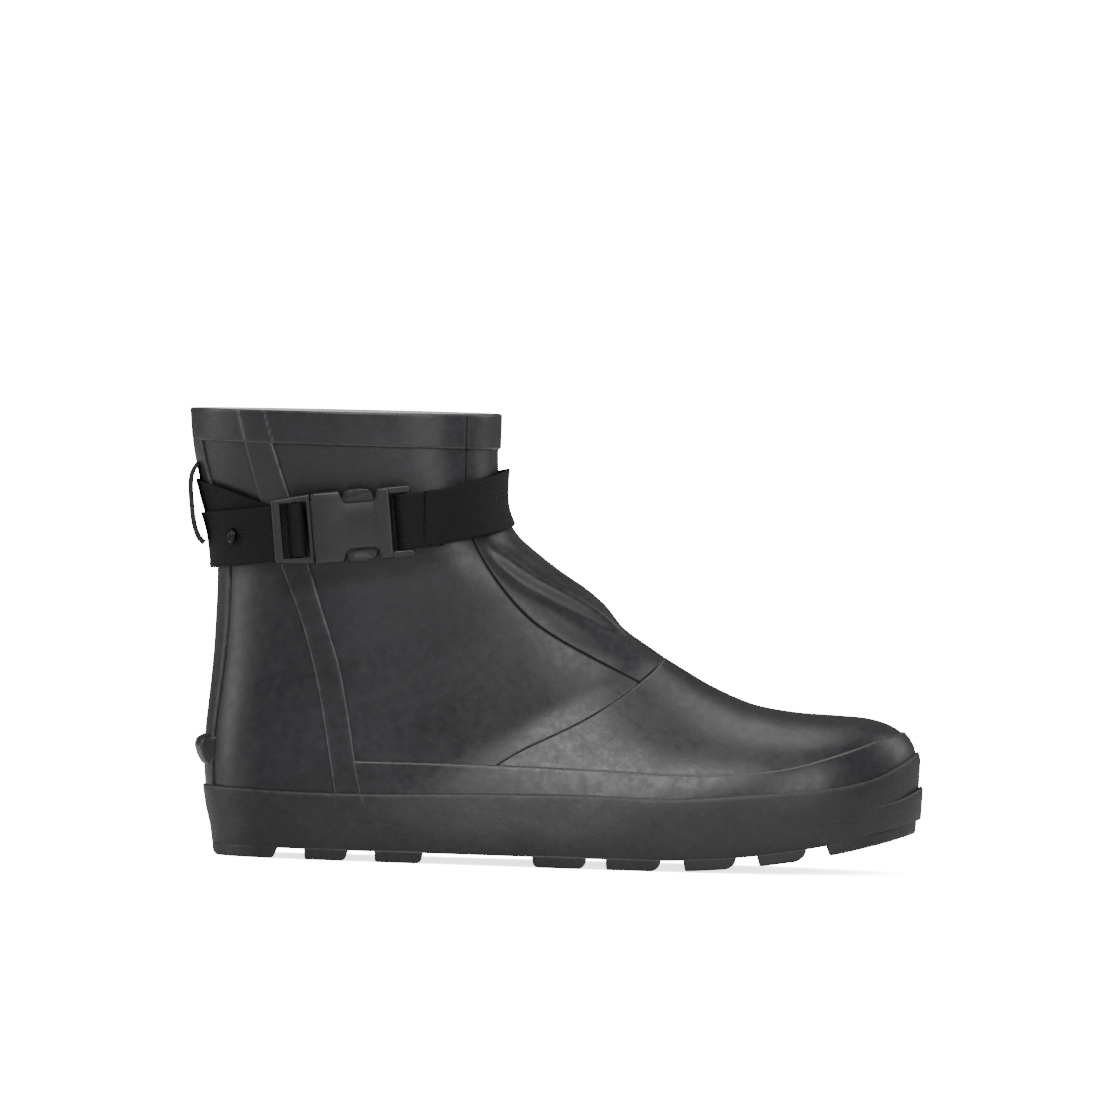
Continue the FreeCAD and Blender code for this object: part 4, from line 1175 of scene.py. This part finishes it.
def plain(low, high):
    """A plain box between two (u, v, w) corners."""
    corners = [(low[0], low[1]), (high[0], low[1]), (high[0], high[1]), (low[0], high[1])]
    vertices = [(u, v, w) for w in (low[2], high[2]) for u, v in corners]
    faces = [[3, 2, 1, 0], [4, 5, 6, 7], [0, 1, 5, 4], [1, 2, 6, 5], [2, 3, 7, 6], [3, 0, 4, 7]]
    return np.array(vertices, float), faces


def prism(outline, low, high):
    outline = np.asarray(outline, float)
    count = len(outline)
    vertices = np.concatenate([np.concatenate([outline, np.full((count, 1), w)], 1) for w in (low, high)])
    return vertices, [list(range(count))[::-1], [count + j for j in range(count)]] + [
        [j, (j + 1) % count, count + (j + 1) % count, count + j] for j in range(count)]


upper_window = soft_corners([(-0.2, 17.5), (2.9, 9.6), (16.2, 9.6), (18.4, 17.5)], 1.4, 5)
lower_window = soft_corners([(-0.2, -17.5), (2.9, -9.6), (16.2, -9.6), (18.4, -17.5)], 2.4, 6)
female_mesh = buckle_solid("female", [
    block(soft_corners([(MOUTH_U, -15.2), (22.5, -15.2), (22.5, 15.2), (MOUTH_U, 15.2)], 2.0, 6),
          -4.2, 4.2, 1.0, 5),
    block(soft_corners([(19.0, -15.2), (31.2, -15.2), (31.2, -12.3), (19.0, -12.3)], 1.3), -2.9, 1.6, 0.6),
    block(soft_corners([(19.0, 12.3), (31.2, 12.3), (31.2, 15.2), (19.0, 15.2)], 1.3), -2.9, 1.6, 0.6),
    block(soft_corners([(27.2, -13.4), (30.6, -13.4), (30.6, 13.4), (27.2, 13.4)], 1.2), -2.5, 0.1, 0.55),
], [plain((-20, -12.4, -2.6), (19.0, 12.4, 2.6)), prism(upper_window, -9, 9), prism(lower_window, -9, 9)])
place_buckle("buckle_female_look", female_mesh, "boot", "buckle_female", buckle_plastic, 0.3)

male_mesh = buckle_solid("male", [
    block(soft_corners([(-28.5, -13.6), (-28.5, 13.6), (-11.5, 15.1), (-11.5, -15.1)], 1.3, 5),
          -2.8, 2.8, 1.0, 5),
    block(soft_corners([(-12.6, -12.0), (-9.0, -12.0), (-9.0, 12.0), (-12.6, 12.0)], 0.8), -2.3, 2.3, 0.4),
    block(soft_corners([(-9.8, -2.6), (9.0, -2.6), (9.0, 2.6), (-9.8, 2.6)], 1.6), -1.8, 1.8, 0.5),
], [plain((-25.0, -12.0, -9), (-13.2, 12.0, 9))])
bar_ring = soft_corners([(-20.1, -1.5), (-17.1, -1.5), (-17.1, 1.5), (-20.1, 1.5)], 1.35, 5)
place_buckle("buckle_male_look", male_mesh, "male_half", "buckle_male", buckle_plastic, 0.3)
bar_rows = np.array([-12.6, 12.6])
vertices, faces = swept(2, lambda k: np.stack(
    [bar_ring[:, 0], np.full(len(bar_ring), bar_rows[k]), bar_ring[:, 1]], -1))
mesh_piece("buckle_male_bar_look", at_buckle(vertices), faces, "male_half", "buckle_plastic", [],
           buckle_plastic)

PRONG = [(-8.8, 6.4), (-10.1, 7.1), (-10.1, 8.7), (-8.8, 9.4), (0.8, 11.2), (2.3, 12.6), (3.2, 14.6),
         (5.0, 15.5), (9.5, 15.7), (14.0, 15.0), (15.6, 12.2), (17.0, 9.4), (16.0, 8.4), (8.0, 9.0),
         (0.0, 8.2)]
# Finger pads; pressed in, each still clears its window.
PADS = {1: [(3.5, 12.2), (4.2, 14.9), (9.5, 15.6), (13.9, 15.0), (14.1, 14.2)],
        -1: [(4.6, 13.0), (5.0, 14.9), (9.5, 15.6), (12.6, 15.2), (12.9, 14.6)]}
for body, node_name, side in (("upper_prong", "prong_upper", 1), ("lower_prong", "prong_lower", -1)):
    outline = [(u, v * side) for u, v in PRONG]
    arm = block(soft_corners(outline, 1.3, 5), -2.3, 2.3, 0.45, 4)
    pad = [(u, v * side) for u, v in PADS[side]]
    prong_mesh = buckle_solid("prong", [arm, block(soft_corners(pad, 0.7, 5), -3.0, 3.0, 0.4, 4)])
    place_buckle(node_name + "_look", prong_mesh, body, node_name, buckle_plastic, 0.2)


def web_sweep(name, path, body, node_name, thick=WEB_THICK, width=WEB_WIDTH):
    """Webbing swept along a (u, w) path in the buckle's frame."""
    path = polyline(path, 90)
    step = unit(np.gradient(path, axis=0))
    side = np.stack([-step[:, 1], step[:, 0]], -1)
    run = run_along(path)
    across = (cross_ring[:, 0] - 0.5) * width
    near = np.minimum(cross_ring[:, 0], 1 - cross_ring[:, 0]) * width
    hem = 0.10 * np.exp(-((near - 1.2) / 0.7) ** 2)

    def section(k):
        off = (cross_ring[:, 1] - 0.5) * thick + hem * np.where(cross_ring[:, 1] > 0.5, 1, -1)
        flat = path[k][None, :] + side[k][None, :] * off[:, None]
        return np.stack([flat[:, 0], across, flat[:, 1]], -1)
    vertices, faces = swept(90, section)
    mesh_piece(name, at_buckle(vertices), faces, body, "webbing", [node_name], webbing,
               {"run": np.repeat(run, len(cross_ring)), "cross": np.tile(cross_ring[:, 0] * width, 90)})


web_sweep("front_strap_fold_look", [(43.5, -3.9), (36, -3.7), (30.0, -3.45), (26.5, -3.1), (24.75, -1.9),
                                    (24.75, -0.4), (26.5, 0.95), (29.0, 1.2), (32.0, 0.6), (36.5, -1.2),
                                    (42.0, -2.6)], "boot", "front_strap")
web_sweep("web_turn_look", [(-21.2, -2.5), (-21.6, 0.2), (-20.9, 1.9), (-19.4, 2.75), (-17.8, 2.75),
                            (-16.3, 1.9), (-15.6, 0.2), (-16.0, -2.5)], "male_half", "web_turn", 1.2, 23.0)

# ---------------------------------------------------------------- rivets
RIVET_X = -28.6
RIVET_Z = 137.1
for sign, label in ((-1, "outer"), (1, "inner")):
    angle = sign * 137.0
    for _ in range(12):
        seat = skin_at(angle, RIVET_Z, 0)
        angle += sign * (float(seat[0]) - RIVET_X) * 0.9
    top = skin_at(angle, RIVET_Z, 4.4)
    out = unit(top - seat)
    side = unit(np.cross(out, np.array([0, 0, 1.0])))
    rise = np.cross(side, out)
    profile = [(0.0, -8.2), (3.3, -8.2), (3.4, -8.05), (3.4, -7.8), (1.5, -7.7), (1.5, 0.2), (3.15, 0.3),
               (3.4, 0.5), (3.35, 0.85), (3.0, 1.25), (2.5, 1.5), (1.6, 1.62), (1.3, 1.5), (1.0, 1.42),
               (0.0, 1.40)]
    turns = np.linspace(0, 2 * math.pi, 48, endpoint=False)
    spokes = [side * math.cos(t) + rise * math.sin(t) for t in turns]
    rings = np.array([[top + out * h + spoke * max(r, 0.01) for spoke in spokes] for r, h in profile])
    mesh_piece("strap_rivet_" + label + "_look", rings.reshape(-1, 3), capped_faces(len(profile), 48), "boot",
               "rivet_metal", ["strap_rivets"], rivet_metal)

# ---------------------------------------------------------------- inside
across = np.concatenate([[-1, -0.999], np.linspace(-0.99, 0.99, 119), [0.999, 1]])


def board_level(x):
    return sole_level(x, 12.4)


start = section_at_level(np.arccos(np.cos(across * math.pi)), top_level, -3.2, 5.0)
s = start[None, :] + (20.4 - start)[None, :] * np.linspace(0, 1, 200)[:, None]
angle = across[None, :] * angle_at_level(s, board_level, -3.2)
sheet_piece("lining_look", layer(s, angle, -2.1), layer(s, angle, -3.2), "lining_textile", "lining",
            lining_textile)

bed_spans, bed_low, bed_high = outline_spans(-3.7, lambda x: sole_level(x, 17.0))


def bed_grid(low, high):
    """Upper and lower faces of the footbed or its cover, slightly cupped, between two levels."""
    edge = 0.3
    u = np.linspace(0, 1, 160)
    x_line = bed_low + edge + (bed_high - bed_low - 2 * edge) * (1 - np.cos(math.pi * u)) / 2
    y_a, y_b = bed_spans(x_line)
    middle = (y_a + y_b) / 2
    half = np.maximum((y_b - y_a) / 2 - edge, 0.02)
    v = np.linspace(-1, 1, 41)
    x = np.broadcast_to(x_line[:, None], (160, 41))
    y = middle[:, None] + half[:, None] * v[None, :]
    cup = 0.35 * v[None, :] ** 4 + 0 * x
    upper = np.stack([x, y, sole_level(x, high) + cup * 0.6 - 0.2], -1)
    return upper, np.stack([x, y, sole_level(x, low)], -1)


sheet_piece("footbed_look", *bed_grid(12.3, 16.5), "footbed_foam", "footbed", footbed_foam)
sheet_piece("footbed_cover_look", *bed_grid(16.6, 17.5), "lining_textile", "footbed_cover", footbed_textile)

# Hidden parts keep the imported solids' shape and get their own finish.
for node_name, material in (("midsole_filler", filler_foam), ("shank", shank_steel),
                            ("insole_board", board_fibre), ("toe_puff", stiff_sheet),
                            ("heel_counter", stiff_sheet)):
    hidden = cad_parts[node_name]
    hidden.data.materials.clear()
    hidden.data.materials.append(material)

# ---------------------------------------------------------------- floor, lights and camera
BACKDROP = 22.0
floor_mesh = bpy.data.meshes.new("floor")
floor_mesh.from_pydata([(-6, -6, 0), (6, -6, 0), (6, 6, 0), (-6, 6, 0)], [], [[0, 1, 2, 3]])
floor = bpy.data.objects.new("floor", floor_mesh)
bpy.context.scene.collection.objects.link(floor)
floor_material, tree, shader = new_material("floor_paper")
shader.inputs["Base Color"].default_value = (0.80, 0.80, 0.80, 1)
shader.inputs["Roughness"].default_value = 0.9
# The camera sees white paper with a painted soft contact shadow, an ambient occlusion ramp in its glow; other
# rays meet a plain light floor.
contact_shadow_ao = node(tree, "ShaderNodeAmbientOcclusion", {"Distance": 0.07}, samples=8).outputs["AO"]
glow = node(tree, "ShaderNodeEmission", {"Color": ramp(tree, contact_shadow_ao, [(0.0, 0.12), (0.5, 0.7), (0.9, 1.0)]),
                                         "Strength": BACKDROP})
path = node(tree, "ShaderNodeLightPath")
both = node(tree, "ShaderNodeMixShader", {0: path.outputs["Is Camera Ray"], 1: shader.outputs[0],
                                          2: glow.outputs[0]})
tree.links.new(both.outputs[0], tree.nodes["Material Output"].inputs["Surface"])
floor_mesh.materials.append(floor_material)


# Name, place, target, size and power of each lamp.
for name, place, target, size_x, size_y, power in (
        ("key", (-0.2, -1.5, 1.35), (0, 0, 0.08), 0.9, 0.5, 29),
        ("right", (1.0, -1.3, 0.65), (0.05, 0, 0.06), 0.35, 0.8, 11),
        ("top", (0.25, 0.15, 1.7), (0, 0, 0.05), 1.4, 0.8, 15),
        ("left_rim", (-1.5, 0.1, 0.6), (-0.1, 0, 0.1), 0.5, 1.2, 9),
        ("right_rim", (1.5, 0.7, 0.8), (0.1, 0, 0.05), 0.6, 1.0, 7)):
    light = bpy.data.lights.new(name, "AREA")
    light.shape = "RECTANGLE"
    light.size = size_x
    light.size_y = size_y
    light.energy = power
    obj = bpy.data.objects.new(name, light)
    obj.location = place
    obj.rotation_euler = (Vector(target) - Vector(place)).to_track_quat("-Z", "Y").to_euler()
    bpy.context.scene.collection.objects.link(obj)

# The world is bright where the camera sees it and gentler as a light.
world = bpy.data.worlds.new("studio")
world.use_nodes = True
tree = world.node_tree
back = tree.nodes["Background"]
back.inputs["Color"].default_value = (0.90, 0.91, 0.93, 1)
back.inputs["Strength"].default_value = 0.2
seen = node(tree, "ShaderNodeBackground", {"Color": (1, 1, 1, 1), "Strength": BACKDROP})
path = node(tree, "ShaderNodeLightPath")
both = node(tree, "ShaderNodeMixShader", {0: path.outputs["Is Camera Ray"], 1: back.outputs[0],
                                          2: seen.outputs[0]})
tree.links.new(both.outputs[0], tree.nodes["World Output"].inputs["Surface"])
bpy.context.scene.world = world

camera_data = bpy.data.cameras.new("camera")
camera = bpy.data.objects.new("camera", camera_data)
bpy.context.scene.collection.objects.link(camera)
bpy.context.scene.camera = camera
# The view is 481.6 mm wide at the boot and turned 1.8 degrees.
DISTANCE = 8.0
VIEW_WIDTH = 481.6
VIEW_CENTRE = (107.75, 130.73)
ROLL = math.radians(1.8)
camera_data.sensor_width = 36.0
camera_data.lens = 36.0 * DISTANCE / (VIEW_WIDTH * MM)
centre = Vector(((VIEW_CENTRE[0] - 107.5) * MM, 0, VIEW_CENTRE[1] * MM))
elevation = math.radians(1.2)
sight = Vector((0, math.cos(elevation), -math.sin(elevation)))
camera.location = centre - sight * DISTANCE
turn = sight.to_track_quat("-Z", "Y").to_matrix()
roll = Matrix.Rotation(ROLL, 3, "Z")
camera.rotation_euler = (turn @ roll).to_euler()
camera_data.clip_end = 40
